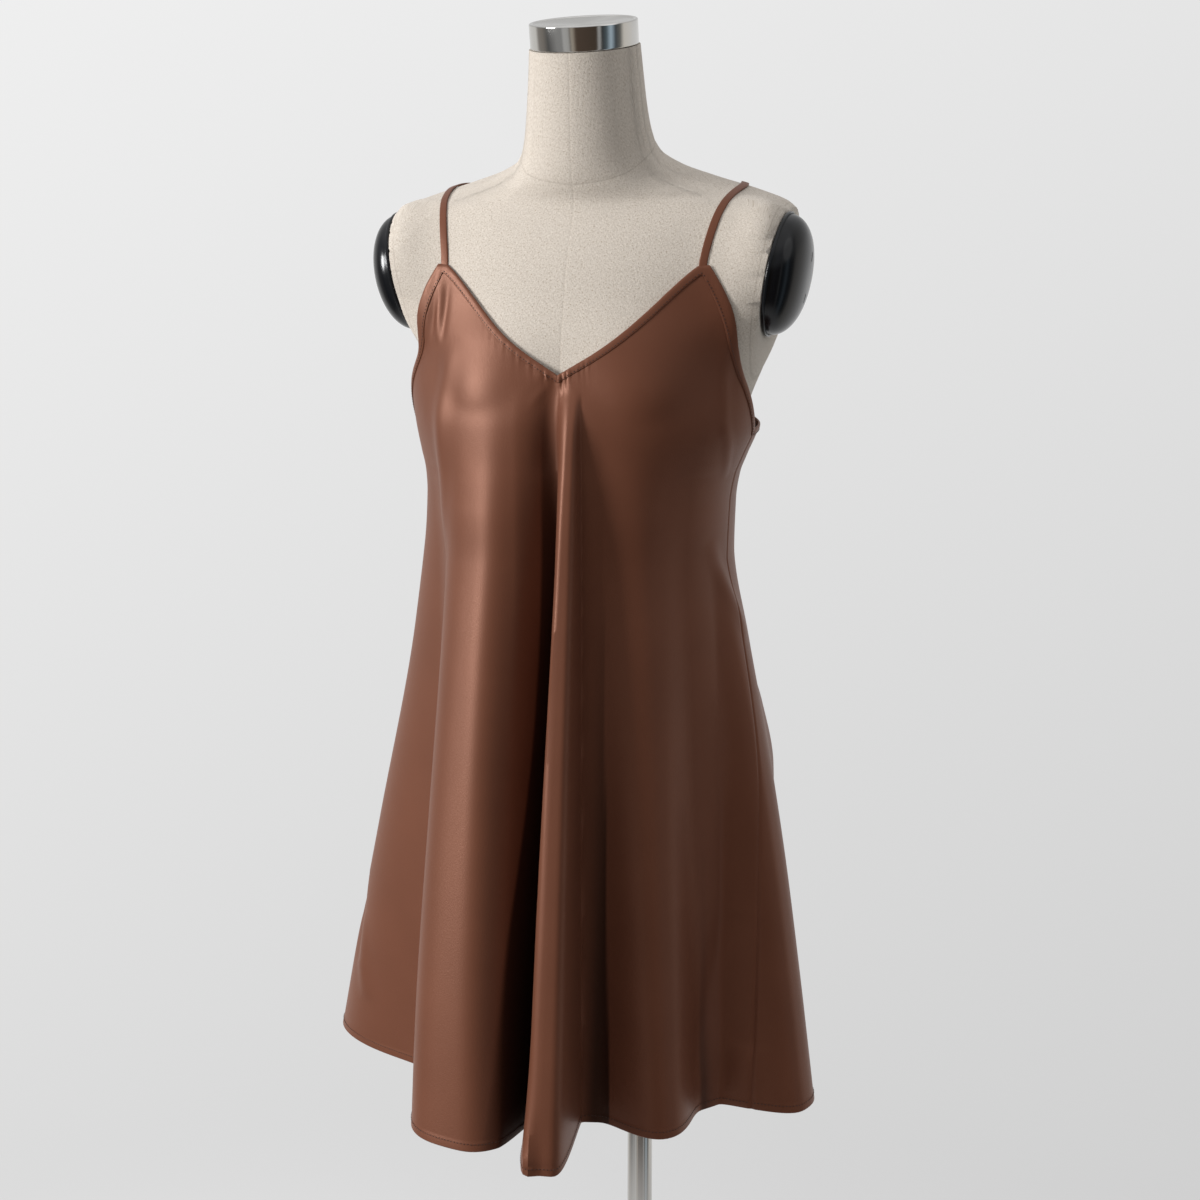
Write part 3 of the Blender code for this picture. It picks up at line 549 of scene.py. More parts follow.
LINEN_PITCH, LINEN_RELIEF, SLUB_SCALE = 0.0011, 0.00014, 1500.0
LINEN_DARK, LINEN_LIGHT = (0.480, 0.424, 0.362, 1), (0.655, 0.596, 0.527, 1)
FLECK_TONE, SEWN_TONE = (0.36, 0.29, 0.22, 1), (0.30, 0.25, 0.20, 1)
FLECK_SCALE, FLECK_LOW, FLECK_HIGH, FLECK_SHARE = 700.0, 0.56, 0.70, 0.90
SEWN_SHARES = (("across", 0.12), ("neck", 0.35), ("plate", 0.35))
SEWN_HALF = 0.0010


def mixed_color(tree, share, first, second):
    """The first colour where the share is 0 and the second where it is 1."""
    return add_node(tree, "MixRGB", {"Fac": share, "Color1": first, "Color2": second}).outputs[0]


def linen_finish():
    """Natural linen, matt and slubby: two flax tones by the slubs, fine dark flecks, darker
    sewn lines, and the weave and the slubs as bump."""
    finish, tree, shader = new_finish("natural_linen", (0.66, 0.60, 0.53), 0.9,
                                      Specular_IOR_Level=0.25, Sheen_Weight=0.15,
                                      Sheen_Roughness=0.5)
    place = add_node(tree, "TexCoord")
    weave = use_effect(tree, woven_threads, {"Vector": place.outputs["UV"], "Pitch": LINEN_PITCH,
                                            "Slub Scale": SLUB_SCALE})
    tones = mixed_color(tree, weave.outputs["Slubs"], LINEN_DARK, LINEN_LIGHT)
    fleck = noise(tree, place.outputs["UV"], FLECK_SCALE)
    flecks = ranged(tree, fleck, FLECK_LOW, FLECK_HIGH, 0.0, FLECK_SHARE)
    speckled = mixed_color(tree, flecks, tones, FLECK_TONE)
    shades = []
    for mark, share in SEWN_SHARES:
        away = add_node(tree, "Attribute", attribute_name=mark)
        line = use_effect(tree, sewn_line, {"Distance": away.outputs["Fac"],
                                            "Half Width": SEWN_HALF})
        shades.append(math_of(tree, "MULTIPLY", line.outputs["Line"], share))
    across, neck, plate = shades
    seams = math_of(tree, "MAXIMUM", math_of(tree, "MAXIMUM", across, neck), plate)
    raised = bump(tree, weave.outputs["Height"], LINEN_RELIEF)
    slubbed = bump(tree, weave.outputs["Slubs"], LINEN_RELIEF, Normal=raised)
    tree.links.new(mixed_color(tree, seams, speckled, SEWN_TONE), shader.inputs["Base Color"])
    tree.links.new(slubbed, shader.inputs["Normal"])
    return finish


linen = linen_finish()
form_cover = add_piece("linen_form", cover, grid_quads(*cover.shape[:2]), linen,
                       cover_uv, cover_marks)
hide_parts("form_body")

# --------------------------------------------------------------------------------- neck cap
# A spun steel cap, chrome-plated, pressed over the top of the neck. Its rolled lip holds a
# shallow dish, a piece of its own, which keeps the fine rings of the spinning.
CAP_RADIUS, CAP_HEIGHT, CAP_LIP, CAP_EDGE = 0.0472, 0.0215, 0.0030, 0.0014
GAP = 0.0003                           # between a cap and the linen
neck_forward, neck_tilt = section(FORM, "forward tilt", FORM_TOP)
tip = np.radians(neck_tilt)
neck_axes = np.array([(1, 0, 0), (0, np.cos(tip), np.sin(tip)), (0, -np.sin(tip), np.cos(tip))])
neck_top = BODY_AXIS + np.array([0, -neck_forward, FORM_TOP]) + neck_axes[2] * GAP
DISH_RADIUS, DISH_TOP, DISH_DEPTH = CAP_RADIUS - CAP_LIP - 0.0012, CAP_HEIGHT - 0.0009, 0.0017
WELL_FLOOR, DISH_UNDERSIDE = DISH_TOP - 0.003, DISH_TOP - 0.0028
cap_profile = rounded([
    (0, 0), (CAP_RADIUS, 0), (CAP_RADIUS, CAP_HEIGHT), (CAP_RADIUS - CAP_LIP, CAP_HEIGHT),
    (DISH_RADIUS, DISH_TOP), (DISH_RADIUS - 0.002, WELL_FLOOR), (0, WELL_FLOOR),
], CAP_EDGE)
dish = np.linspace(1, 0, 24)
dish_profile = np.concatenate([
    [(0, DISH_UNDERSIDE), (DISH_RADIUS - 0.0015, DISH_UNDERSIDE)],
    np.stack([DISH_RADIUS * dish, DISH_TOP - DISH_DEPTH * (1 - dish ** 2)], -1)])
spun_chrome = metal_finish("spun_chrome", (0.61, 0.60, 0.58), 0.07, 0.15, (1.5, 1400.0, 1.0),
                           0.000028)
neck_cap = turned("neck_cap_spun", cap_profile, spun_chrome, neck_top, neck_axes,
                  sides=160)
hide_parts("neck_cap")
spun_dish = metal_finish("spun_dish", (0.56, 0.55, 0.53), 0.20, 0.26, (1.5, 1400.0, 1.0),
                         0.000010, Anisotropic=0.85, Anisotropic_Rotation=0.25)
dish_face = turned("neck_cap_dish", dish_profile, spun_dish, neck_top, neck_axes,
                   sides=160)
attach(dish_face, "root")

# --------------------------------------------------------------------------------- arm caps
# Two oval covers moulded in glossy black plastic, each with a low flange, a fine groove inside
# it and two short slots for the arm's catch.
CAP_DEPTH, CAP_TALL, CAP_FLANGE, CAP_DOME = 0.0500, 0.0545, 0.0030, 0.0280
gloss_black = metal_finish("gloss_black", (0.0035, 0.004, 0.0055), 0.16, 0.21, (25.0, 25.0, 1.0),
                           0.000004, metallic=0.0, Specular_IOR_Level=0.30)
# The caps' profile: the radius as a share of the oval's half sizes, and the height in metres.
DOME_RADIUS, DOME_POWER = 0.962, 0.8
dome_turn = np.radians(np.linspace(3, 90, 40))
dome = np.stack([DOME_RADIUS * np.cos(dome_turn) ** DOME_POWER,
                 CAP_FLANGE + (CAP_DOME - CAP_FLANGE) * np.sin(dome_turn)], -1)
dome[-1, 0] = 0
arm_profile = np.concatenate([
    [(0, 0), (0.988, 0), (0.996, 0.0003), (1, 0.0008), (1, CAP_FLANGE - 0.0008),
     (0.997, CAP_FLANGE - 0.0003), (0.990, CAP_FLANGE), (0.974, CAP_FLANGE - 0.0001),
     (0.968, CAP_FLANGE - 0.0006)], dome])
# The two slots: where each lies on the dome, as shares of its half sizes, and its lean.
SLOTS = table("ahead up lean", [(0.0, 0.36, 12.0), (0.0, -0.30, -12.0)])
SLOT_LONG, SLOT_WIDE, SLOT_DEEP = 0.0085, 0.0026, 0.006


def cut_slot(cap, seat, axes, lean, sides=24):
    """Cuts a slot into a cap with a cutter that is then removed. Its outline is a circle of its
    width, with each half moved out along its length."""
    turn = np.linspace(0, 2 * np.pi, sides, endpoint=False)
    lean = np.radians(lean)
    along = np.cos(lean) * axes[1] + np.sin(lean) * axes[0]
    beside = np.cross(along, axes[2])
    away = (SLOT_WIDE / 2 * np.sin(turn)
            + np.where(np.arange(sides) <= sides // 2, 1, -1) * (SLOT_LONG - SLOT_WIDE) / 2)
    outline = SLOT_WIDE / 2 * np.cos(turn)[:, None] * beside + away[:, None] * along
    points = np.concatenate([seat + outline + axes[2] * reach for reach in (-SLOT_DEEP, SLOT_DEEP)])
    ends = np.arange(2 * sides).reshape(2, sides)
    walls = grid_quads(2, sides, close_columns=True)
    mesh = bpy.data.meshes.new("slot_cutter")
    mesh.from_pydata(points.tolist(), [], ends.tolist() + walls.tolist())
    close_up(mesh)
    cutter = new_object("slot_cutter", mesh)
    cut = cap.modifiers.new("slot", "BOOLEAN")
    cut.operation = "DIFFERENCE"
    cut.solver = "EXACT"
    cut.object = cutter
    graph = bpy.context.evaluated_depsgraph_get()
    finished = bpy.data.meshes.new_from_object(cap.evaluated_get(graph), depsgraph=graph)
    cap.modifiers.clear()
    cap.data = finished
    bpy.data.objects.remove(cutter, do_unlink=True)


for side, name in ((1, "left"), (-1, "right")):
    middle, axes = arm_plate(side)
    cap = turned(f"arm_cover_{name}", arm_profile, gloss_black,
                 middle + axes[2] * GAP, axes, (CAP_DEPTH, CAP_TALL), sides=144)
    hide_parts(f"arm_cap_{name}")
    for ahead, up, lean in zip(*SLOTS.values()):
        share = np.hypot(ahead, up)
        out = np.interp(share, dome[::-1, 0], dome[::-1, 1])
        seat = middle + np.array([ahead * CAP_DEPTH, up * CAP_TALL, out]) @ axes
        cut_slot(cap, seat, axes, lean)

# ------------------------------------------------------------------------------- the cloth
# Brown satin, cut on the bias, so that the skirt falls in soft flutes. The front is one piece
# from the hem to the strap points, and the back another from the hem to a low back edge.
HEM_HEIGHT = 0.581
CLOTH_EASE, CLOTH_BLEND = 0.0022, 0.0035   # clear of the form, and the change to hanging cloth
V_TIP_HEIGHT = 1.237
STRAP_POINT_HEIGHT, STRAP_POINT_ANGLE, STRAP_POINT_HALF = 1.329, 59.8, 1.4
UNDERARM_HEIGHT, UNDERARM_ANGLE = 1.186, 88.0
BACK_STRAP_ANGLE, BACK_STRAP_HEIGHT, BACK_MIDDLE_HEIGHT = 142.0, 1.235, 1.205
BINDING_WIDTH = 0.006
# The hanging cloth without its folds: an oval at each height, where the form doesn't fill it.
HANG = table("height right left front back front_square back_square", [
    (0.581, 0.166, 0.164, 0.152, 0.168, 2.0, 2.0),
    (0.700, 0.158, 0.159, 0.145, 0.162, 2.0, 2.0),
    (0.800, 0.150, 0.154, 0.138, 0.156, 2.0, 2.0),
    (1.000, 0.135, 0.136, 0.125, 0.132, 2.1, 2.1),
    (1.075, 0.134, 0.127, 0.121, 0.120, 2.1, 2.1),
    (1.120, 0.136, 0.128, 0.120, 0.113, 2.2, 2.2),
    (1.145, 0.140, 0.132, 0.119, 0.110, 2.2, 2.2),
    (1.160, 0.145, 0.138, 0.118, 0.109, 2.2, 2.2),
    (1.190, 0.154, 0.150, 0.117, 0.107, 2.2, 2.2),
    (1.240, 0.164, 0.155, 0.106, 0.105, 2.1, 2.2),
    (1.340, 0.168, 0.166, 0.082, 0.100, 2.0, 2.2),
])
# Each fold starts at a height and grows down to the hem, while its crest goes from the top angle
# to the hem angle. out is how far it stands out at the hem, or sinks in where it is negative. The
# sides are its half widths there in degrees towards the form's right and left, times spread at
# its start. flat makes the crest flatter and the sides steeper, power above 1 lets the fold grow
# late, and drop lowers the hem under the crest.
FOLD_COLUMNS = "start top hem right_side left_side spread flat_right flat_left out power drop"
FOLDS = table(FOLD_COLUMNS, [
    (1.300, -90, -95.0, 52.0, 38.0, 1.0, 1.0, 0.9, 0.102, 1.05, 0.000),
    (1.235, -38, -15.0, 34.0, 21.0, 1.1, 1.6, 2.0, 0.087, 1.15, 0.000),
    (1.236, -1.0, -1.4, 3.7, 1.6, 5.0, 1.0, 1.0, -0.072, 0.70, 0.000),
    (1.222, 6.0, 6.0, 8.0, 6.8, 0.85, 2.6, 4.5, 0.085, 0.80, 0.012),
    (1.235, 36, 35.0, 17.0, 20.0, 1.0, 1.0, 1.0, 0.041, 1.30, 0.000),
    (1.070, 84, 75.0, 14.0, 30.0, 1.0, 2.0, 1.0, 0.065, 1.00, 0.000),
    (1.000, 124, 124.0, 18.0, 17.0, 1.2, 1.2, 1.0, 0.050, 1.20, 0.000),
    (1.060, 152, 155.0, 16.0, 15.0, 1.3, 1.0, 1.5, 0.064, 1.10, 0.004),
    (1.020, 190, 187.0, 15.0, 17.0, 1.3, 1.3, 1.0, 0.056, 1.15, 0.002),
    (0.960, 222, 219.0, 17.0, 15.0, 1.2, 1.0, 1.2, 0.066, 1.20, 0.000),
])
# The side seams, as the direction of each at a height.
SEAMS = table("height right left", [
    (0.560, -93.0, 65.0),
    (0.680, -92.0, 68.1),
    (0.814, -91.0, 72.5),
    (0.940, -90.0, 79.5),
    (1.030, -89.0, 84.0),
    (1.186, -88.0, 88.0),
])


def fold_sum(theta, height, amount):
    """Every fold's bell, 1 - sin(pi t / 2) ** (2 flat) for t from 0 at the crest to 1 at its
    foot, times its growth so far and its amount, all added up."""
    total = 0.0
    for values in zip(*FOLDS.values()):
        fold = dict(zip(FOLDS, values))
        grown = np.clip((fold["start"] - height) / (fold["start"] - HEM_HEIGHT), 0, 1)
        crest = fold["top"] + (fold["hem"] - fold["top"]) * grown
        off = wrapped(theta - crest)
        to_right = off < 0
        half = np.where(to_right, fold["right_side"], fold["left_side"])
        half = half * (fold["spread"] + (1 - fold["spread"]) * grown)
        flat = np.where(to_right, fold["flat_right"], fold["flat_left"])
        bell = 1 - np.sin(np.clip(np.abs(off) / half, 0, 1) * np.pi / 2) ** (2 * flat)
        total = total + fold[amount] * bell * grown ** fold["power"]
    return total


def dress_radius(theta, height):
    """The larger of the form with its ease and the hanging cloth, with a rounded change."""
    lying = form_radius(theta, height) + CLOTH_EASE
    hanging = (oval(theta, *section(HANG, "right left " + HALVES, height))
               + fold_sum(theta, height, "out"))
    return (lying + hanging + np.hypot(lying - hanging, CLOTH_BLEND)) / 2


def dress_point(theta, height):
    """A point of the dress in direction theta at that height."""
    radius = dress_radius(theta, height)
    turn = np.radians(theta)
    return BODY_AXIS + np.stack([radius * np.sin(turn), -radius * np.cos(turn),
                                 height + 0 * radius], -1)


EDGE = table("angle height", [
    (0.0, V_TIP_HEIGHT),
    (20.0, 1.2600),
    (40.0, 1.2915),
    (STRAP_POINT_ANGLE - STRAP_POINT_HALF, STRAP_POINT_HEIGHT),
    (STRAP_POINT_ANGLE + STRAP_POINT_HALF, STRAP_POINT_HEIGHT),
    (64.6, 1.298),
    (69.0, 1.260),
    (78.0, 1.225),
    (UNDERARM_ANGLE, UNDERARM_HEIGHT),
    (115.0, 1.194),
    (BACK_STRAP_ANGLE, BACK_STRAP_HEIGHT),
    (180.0, BACK_MIDDLE_HEIGHT),
])
EDGE_CORNERS = (0, 3, 4, 8, 10, 11)  # rows of EDGE where the line may bend sharply


def top_edge(theta):
    """Height of the dress's upper edge: neckline, strap points, armholes and back."""
    away = np.abs(wrapped(theta))
    height = np.full_like(away, STRAP_POINT_HEIGHT)
    for first, last in zip(EDGE_CORNERS[:-1], EDGE_CORNERS[1:]):
        at = EDGE["angle"][first:last + 1]
        inside = (away >= at[0]) & (away <= at[-1])
        line = smooth_line(at, EDGE["height"][first:last + 1], away)
        height = np.where(inside, line, height)
    return height


# The lower edge of the binding: the lowest reach of a disc of its width rolled along the edge,
# where the dress is about this far from the body axis.
EDGE_REACH = 0.13
round_angles = np.linspace(-180, 180, 7201)
disc = np.linspace(-1, 1, 81)
rolled = top_edge(round_angles[:, None] + disc * np.degrees(BINDING_WIDTH / EDGE_REACH))
round_inset = (rolled - BINDING_WIDTH * np.sqrt(1 - disc ** 2)).min(axis=-1)


def inset_edge(theta):
    """Height of the binding's lower edge."""
    return np.interp(wrapped(theta), round_angles, round_inset)


def hem_edge(theta):
    """Height of the hem: lower by the drop of every fold there."""
    return HEM_HEIGHT - fold_sum(theta, np.full_like(theta, HEM_HEIGHT), "drop")


def seam_angle(side, height):
    """Direction of the left (1) or right (-1) side seam."""
    return smooth_line(SEAMS["height"], SEAMS["left" if side > 0 else "right"], height)


# The lines that a panel's columns follow, such as the fold crests: each one's angle at the top
# edge and at the hem, the number of columns to the next, and where these crowd together: -1 at
# the start, 1 at the end, 0 nowhere.
FRONT_LINES = table("top hem columns crowd", [
    (-UNDERARM_ANGLE, -93.0, 38, -1),
    (-STRAP_POINT_ANGLE - STRAP_POINT_HALF, -59.5, 4, 0),
    (-STRAP_POINT_ANGLE, -58.0, 4, 0),
    (-STRAP_POINT_ANGLE + STRAP_POINT_HALF, -56.5, 70, 0),
    (0.0, -2.2, 30, 0),
    (8.0, 5.6, 30, 0),
    (19.0, 13.6, 34, 0),
    (STRAP_POINT_ANGLE - STRAP_POINT_HALF, 51.0, 4, 0),
    (STRAP_POINT_ANGLE, 52.0, 4, 0),
    (STRAP_POINT_ANGLE + STRAP_POINT_HALF, 53.0, 28, 1),
    (UNDERARM_ANGLE, 65.0, 0, 0),
])
BACK_LINES = table("top hem columns crowd", [
    (UNDERARM_ANGLE, 65.0, 60, -1),
    (BACK_STRAP_ANGLE, 138.0, 42, 0),
    (180.0, 172.0, 46, 0),
    (360 - BACK_STRAP_ANGLE, 222.0, 52, 1),
    (360 - UNDERARM_ANGLE, 267.0, 0, 0),
])
HEM_FOLD = 0.0070                      # how far up the turned-up hem reaches
CROWDING = 1.7
BODY_LENGTH = 0.62                     # from the hem to the binding, to share the levels out
# The rows of a panel: close together up the hem, even up the body, and three under the binding.
hem_levels = np.array([0.0, 0.0008, 0.0020, 0.0035, 0.0050, 0.0060, 0.0070, 0.0085]) / BODY_LENGTH
LEVELS = np.concatenate([hem_levels, np.linspace(0.0190, 1.0, 172), [1.25, 1.5, 1.75]])


def panel_grid(lines, first, last):
    """The directions and heights of a panel's points between two seams, each seam's angle a
    function of height. Between two lines its points are evenly spaced along the cloth. Level 0
    is the hem, level 1 the binding's lower edge and level 2 the top edge."""
    level = LEVELS[:, None]
    share = np.minimum(level, 1.0)

    def height_of(theta):
        """Height of each level in a direction."""
        low, high = hem_edge(theta), inset_edge(theta)
        return low + share * (high - low) + (level - share) * (top_edge(theta) - high)

    stops = lines["hem"] + (lines["top"] - lines["hem"]) * share
    for _ in range(4):
        ends = height_of(stops[:, [0, -1]])
        stops[:, 0], stops[:, -1] = first(ends[:, 0]), last(ends[:, 1])
    fine = np.linspace(0, 1, 241)
    pieces = []
    for i, (count, crowd) in enumerate(zip(lines["columns"][:-1], lines["crowd"][:-1])):
        theta = stops[:, i:i + 1] + fine * (stops[:, i + 1:i + 2] - stops[:, i:i + 1])
        length = run_length(dress_point(theta, height_of(theta)), 1)
        at = np.arange(count) / count
        at = at ** CROWDING if crowd < 0 else 1 - (1 - at) ** CROWDING if crowd > 0 else at
        pieces.append(np.array([np.interp(at * travelled[-1], travelled, angles)
                                for travelled, angles in zip(length, theta)]))
    theta = np.concatenate(pieces + [stops[:, -1:]], axis=1)
    return theta, height_of(theta)


# The creases that the cloth keeps beside its large folds: from a direction and height to
# another, with a half width and a height in metres, negative for a trough.
CREASE_FADE = 0.7
CREASES = table("angle height to_angle to_height half_width out", [
    (-59.2, 1.316, -58.5, 1.262, 0.0045, 0.0016),
    (-57.4, 1.318, -56.3, 1.262, 0.0040, -0.0016),
    (-61.6, 1.306, -65.0, 1.262, 0.0045, 0.0012),
    (-60.4, 1.306, -61.5, 1.262, 0.0035, -0.0010),
    (-2.6, 1.238, -6.0, 1.150, 0.0075, -0.0022),
    (-3.6, 1.231, -12.8, 1.210, 0.0030, 0.0007),
    (66.0, 1.275, 66.6, 1.180, 0.0060, 0.0012),
    (70.0, 1.090, 88.5, 1.000, 0.0100, 0.0022),
    (66.6, 0.640, 64.0, 0.580, 0.0060, 0.0030),
    (66.4, 1.196, 77.0, 1.145, 0.0060, 0.0012),
    (66.0, 0.760, 52.0, 0.610, 0.0130, -0.0032),
    (-51.0, 1.262, -56.0, 1.075, 0.0120, 0.0034),
    (-92.0, 0.740, -85.0, 0.655, 0.0100, -0.0034),
    (-87.0, 0.705, -80.0, 0.625, 0.0080, 0.0024),
])


def crease_height(theta, height, radius):
    """The sum of the creases, each out exp(-(distance / half width)^2) from its line and
    fading to nothing at both ends."""
    total = np.zeros_like(theta)
    for angle, z, to_angle, to_z, half, out in zip(*CREASES.values()):
        turn = np.radians(wrapped(theta - angle)) * radius
        run = np.radians(to_angle - angle) * radius
        rise, fall = height - z, to_z - z
        t = (turn * run + rise * fall) / (run ** 2 + fall ** 2)
        inside = np.clip(t, 0, 1)
        apart = np.hypot(turn - inside * run, rise - inside * fall)
        total += out * np.exp(-(apart / half) ** 2) * np.clip(4 * t * (1 - t), 0, 1) ** CREASE_FADE
    return total


# Small puckers that the binding's stitching draws into the neckline, deepest beside the point
# of the V on the form's right.
PUCKER_PITCHES, PUCKER_PHASE = (0.0061, 0.0047, 0.0103), 9
PUCKER_OUT, PUCKER_DEEP, PUCKER_EVEN = 0.00042, 0.0055, 0.12
PUCKER_REACH, PUCKER_SHORT = 0.034, 0.008


def pucker_height(theta, across, below):
    """Waves of three pitches along the neckline, which die away with the distance below the
    edge and away from the point of the V."""
    waves = sum(np.sin(2 * np.pi * across / pitch + PUCKER_PHASE * pitch / PUCKER_PITCHES[0])
                for pitch in PUCKER_PITCHES)
    start = across[-1, np.argmin(np.abs(theta[-1]))]
    aside = across[-1] - start
    near = np.where(aside < 0, np.exp(aside / PUCKER_REACH), np.exp(-aside / PUCKER_SHORT))
    return PUCKER_OUT * waves * (PUCKER_EVEN + near) * np.exp(-below / PUCKER_DEEP)


CLOTH_HALF, HEM_HALF = 0.00035, 0.0007
SEAM_ROLL, SEAM_ROLL_WIDTH = 0.0009, 0.0017
# The hem's stitching pulls a groove into it, this far below the turned-up edge.
GROOVE_DEPTH, GROOVE_BELOW, GROOVE_HALF = 0.0002, 0.0010, 0.0008


def shell(name, grid, normal, half, finish, uv, marks):
    """A sheet of cloth: each point moved half to both sides along its normal, and the rim
    closed through a line that stands half a thickness outside it, so that it is rounded."""
    rows, columns = grid.shape[:2]
    count = rows * columns
    index = np.arange(count).reshape(rows, columns)
    rim = np.concatenate([index[0, :-1], index[:-1, -1], index[-1, :0:-1], index[:0:-1, 0]])
    ahead = np.zeros_like(grid)
    ahead[0] += unit(grid[0] - grid[1])
    ahead[-1] += unit(grid[-1] - grid[-2])
    ahead[:, 0] += unit(grid[:, 0] - grid[:, 1])
    ahead[:, -1] += unit(grid[:, -1] - grid[:, -2])
    edge = (grid + ahead * half[..., None]).reshape(-1, 3)[rim]
    reach = normal * half[..., None]
    points = np.concatenate([(grid + reach).reshape(-1, 3), (grid - reach).reshape(-1, 3), edge])
    quads = grid_quads(rows, columns)
    turn = np.arange(len(rim))
    after = np.roll(turn, -1)
    line = 2 * count + turn
    faces = np.concatenate([
        quads, quads[:, ::-1] + count,
        np.stack([rim[after], rim, line, line[after]], -1),
        np.stack([line[after], line, rim + count, rim[after] + count], -1)])
    flat = uv.reshape(-1, 2)
    spread = {mark: np.concatenate([values.ravel(), values.ravel(), values.ravel()[rim]])
              for mark, values in marks.items()}
    return add_piece(name, points, faces, finish, np.concatenate([flat, flat, flat[rim]]),
                     spread)


SATIN_LIGHT, SATIN_DARK = (0.138, 0.0508, 0.0288), (0.126, 0.0460, 0.0260)
# The deep colour is painted shade, for the insides of the folds.
SATIN_PAINTED_SHADE, SATIN_GLOSS_TINT = (0.010, 0.004, 0.003), (1.0, 0.68, 0.54)
SATIN_ROUGH, SATIN_SMOOTHER, SATIN_ROUGHER = 0.43, 0.03, 0.04
SATIN_PITCH, SATIN_RELIEF, DRIFT_SCALE = 0.0007, 0.00004, 14.0
# Painted shade in the folds: none at the shallow depth, its full share at the deep one, in metres.
SHALLOW, DEEP, PAINTED_SHADE_SHARE = 0.002, 0.025, 0.85


def satin_finish():
    """Satin: a smooth face of long floats with a soft, tinted gloss. Its tone drifts a little,
    and shade is painted into its colour deep inside the folds."""
    finish, tree, shader = new_finish("brown_satin", SATIN_LIGHT, SATIN_ROUGH, metallic=0.15,
                                      Specular_IOR_Level=0.34,
                                      Specular_Tint=(*SATIN_GLOSS_TINT, 1))
    place = add_node(tree, "TexCoord")
    drift = ranged(tree, noise(tree, place.outputs["UV"], DRIFT_SCALE, detail=3.0), 0.3, 0.7)
    color = mixed_color(tree, drift, (*SATIN_DARK, 1), (*SATIN_LIGHT, 1))
    # Painted shade: the colour darkens towards the deep colour where the point lies deep in a fold.
    depth = add_node(tree, "Attribute", attribute_name="fold_shade_depth")
    painted_shade = ranged(tree, depth.outputs["Fac"], SHALLOW, DEEP, 0.0, PAINTED_SHADE_SHARE, smooth=True)
    color = mixed_color(tree, painted_shade, color, (*SATIN_PAINTED_SHADE, 1))
    weave = use_effect(tree, woven_threads, {"Vector": place.outputs["UV"], "Pitch": SATIN_PITCH,
                                            "Slub Scale": SLUB_SCALE})
    floats = weave.outputs["Slubs"]
    gloss = ranged(tree, floats, 0.0, 1.0, SATIN_ROUGH - SATIN_SMOOTHER,
                   SATIN_ROUGH + SATIN_ROUGHER)
    tree.links.new(color, shader.inputs["Base Color"])
    tree.links.new(gloss, shader.inputs["Roughness"])
    tree.links.new(bump(tree, floats, SATIN_RELIEF), shader.inputs["Normal"])
    return finish


satin = satin_finish()


def dress_normal(theta, height):
    """The dress's normal, which is the same for both panels at a side seam."""
    turn, rise = 0.05, 0.0002
    around = dress_point(theta + turn, height) - dress_point(theta - turn, height)
    upward = dress_point(theta, height + rise) - dress_point(theta, height - rise)
    return unit(np.cross(around, upward))


ASIDE = (2.5, 5.0, 7.5, 10.0)          # how far round a fold's two sides are looked for


def fold_shade_depth(theta, height):
    """How deep a point lies in a fold, below the lower of the crests on its two sides. It sets
    the shade painted into the satin's colour.
    """
    sides = [np.max([dress_radius(theta + way * step, height) for step in ASIDE], axis=0)
             for way in (-1, 1)]
    return np.maximum(np.minimum(*sides) - dress_radius(theta, height), 0)


def sewn_panel(name, lines, first, last):
    """A dress panel with its creases, side seams and turned-up hem, as its directions, grid and
    normals, and the piece itself."""
    theta, height = panel_grid(lines, first, last)
    grid = dress_point(theta, height)
    normal = dress_normal(theta, height)
    radius = np.linalg.norm((grid - BODY_AXIS)[..., :2], axis=-1)
    across = run_length(grid, 1)
    to_seam = np.minimum(across, across[:, -1:] - across)
    up = run_length(grid, 0)
    move = crease_height(theta, height, radius)
    if lines is FRONT_LINES:
        move += pucker_height(theta, across, np.maximum(inset_edge(theta) - height, 0))
    move -= SEAM_ROLL * np.exp(-(to_seam / SEAM_ROLL_WIDTH) ** 2)
    grid = grid + normal * move[..., None]
    normal = outward(grid)
    half = np.where(up < HEM_FOLD, HEM_HALF, CLOTH_HALF)
    half = half - GROOVE_DEPTH * np.exp(-((up - HEM_FOLD + GROOVE_BELOW) / GROOVE_HALF) ** 2)
    uv = np.stack([across - across[:, -1:] / 2, up], -1)
    # The fold depth sets the shade painted into the satin's colour.
    marks = {"fold_shade_depth": fold_shade_depth(theta, height)}
    piece = shell(name, grid, normal, half, satin, uv, marks)
    return theta, grid, normal, piece


SEAM_GAP_ANGLE = 0.02                  # degrees that each panel stops short of the seam
front = sewn_panel("satin_front", FRONT_LINES, lambda h: seam_angle(-1, h) + SEAM_GAP_ANGLE,
                   lambda h: seam_angle(1, h) - SEAM_GAP_ANGLE)
back = sewn_panel("satin_back", BACK_LINES, lambda h: seam_angle(1, h) + SEAM_GAP_ANGLE,
                  lambda h: seam_angle(-1, h) + 360 - SEAM_GAP_ANGLE)
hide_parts("dress_front")
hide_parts("dress_back")

# --------------------------------------------------------------------------------- bindings
# Bias strips of the same satin, folded over the raw top edge and stitched down near their lower
# edge. The neck ones meet in a mitre at the point of the V.
# The folded strip's section: down as a share of the binding's width and out in millimetres.
BINDING_FOLD = table("down out", [      # the outer side from the front leaf's lower edge over
    (1.00, 0.90), (0.97, 1.10), (0.85, 1.16), (0.60, 1.32), (0.30, 1.34), (0.10, 1.15),
    (0.00, 0.80), (-0.05, 0.00), (0.00, -0.80), (0.10, -1.05), (0.60, -1.15), (1.00, -0.95),
    # and back along the inner side
    (1.00, -0.50), (0.60, -0.60), (0.15, -0.55), (0.05, 0.00), (0.15, 0.55), (0.60, 0.62),
    (1.00, 0.55),
])


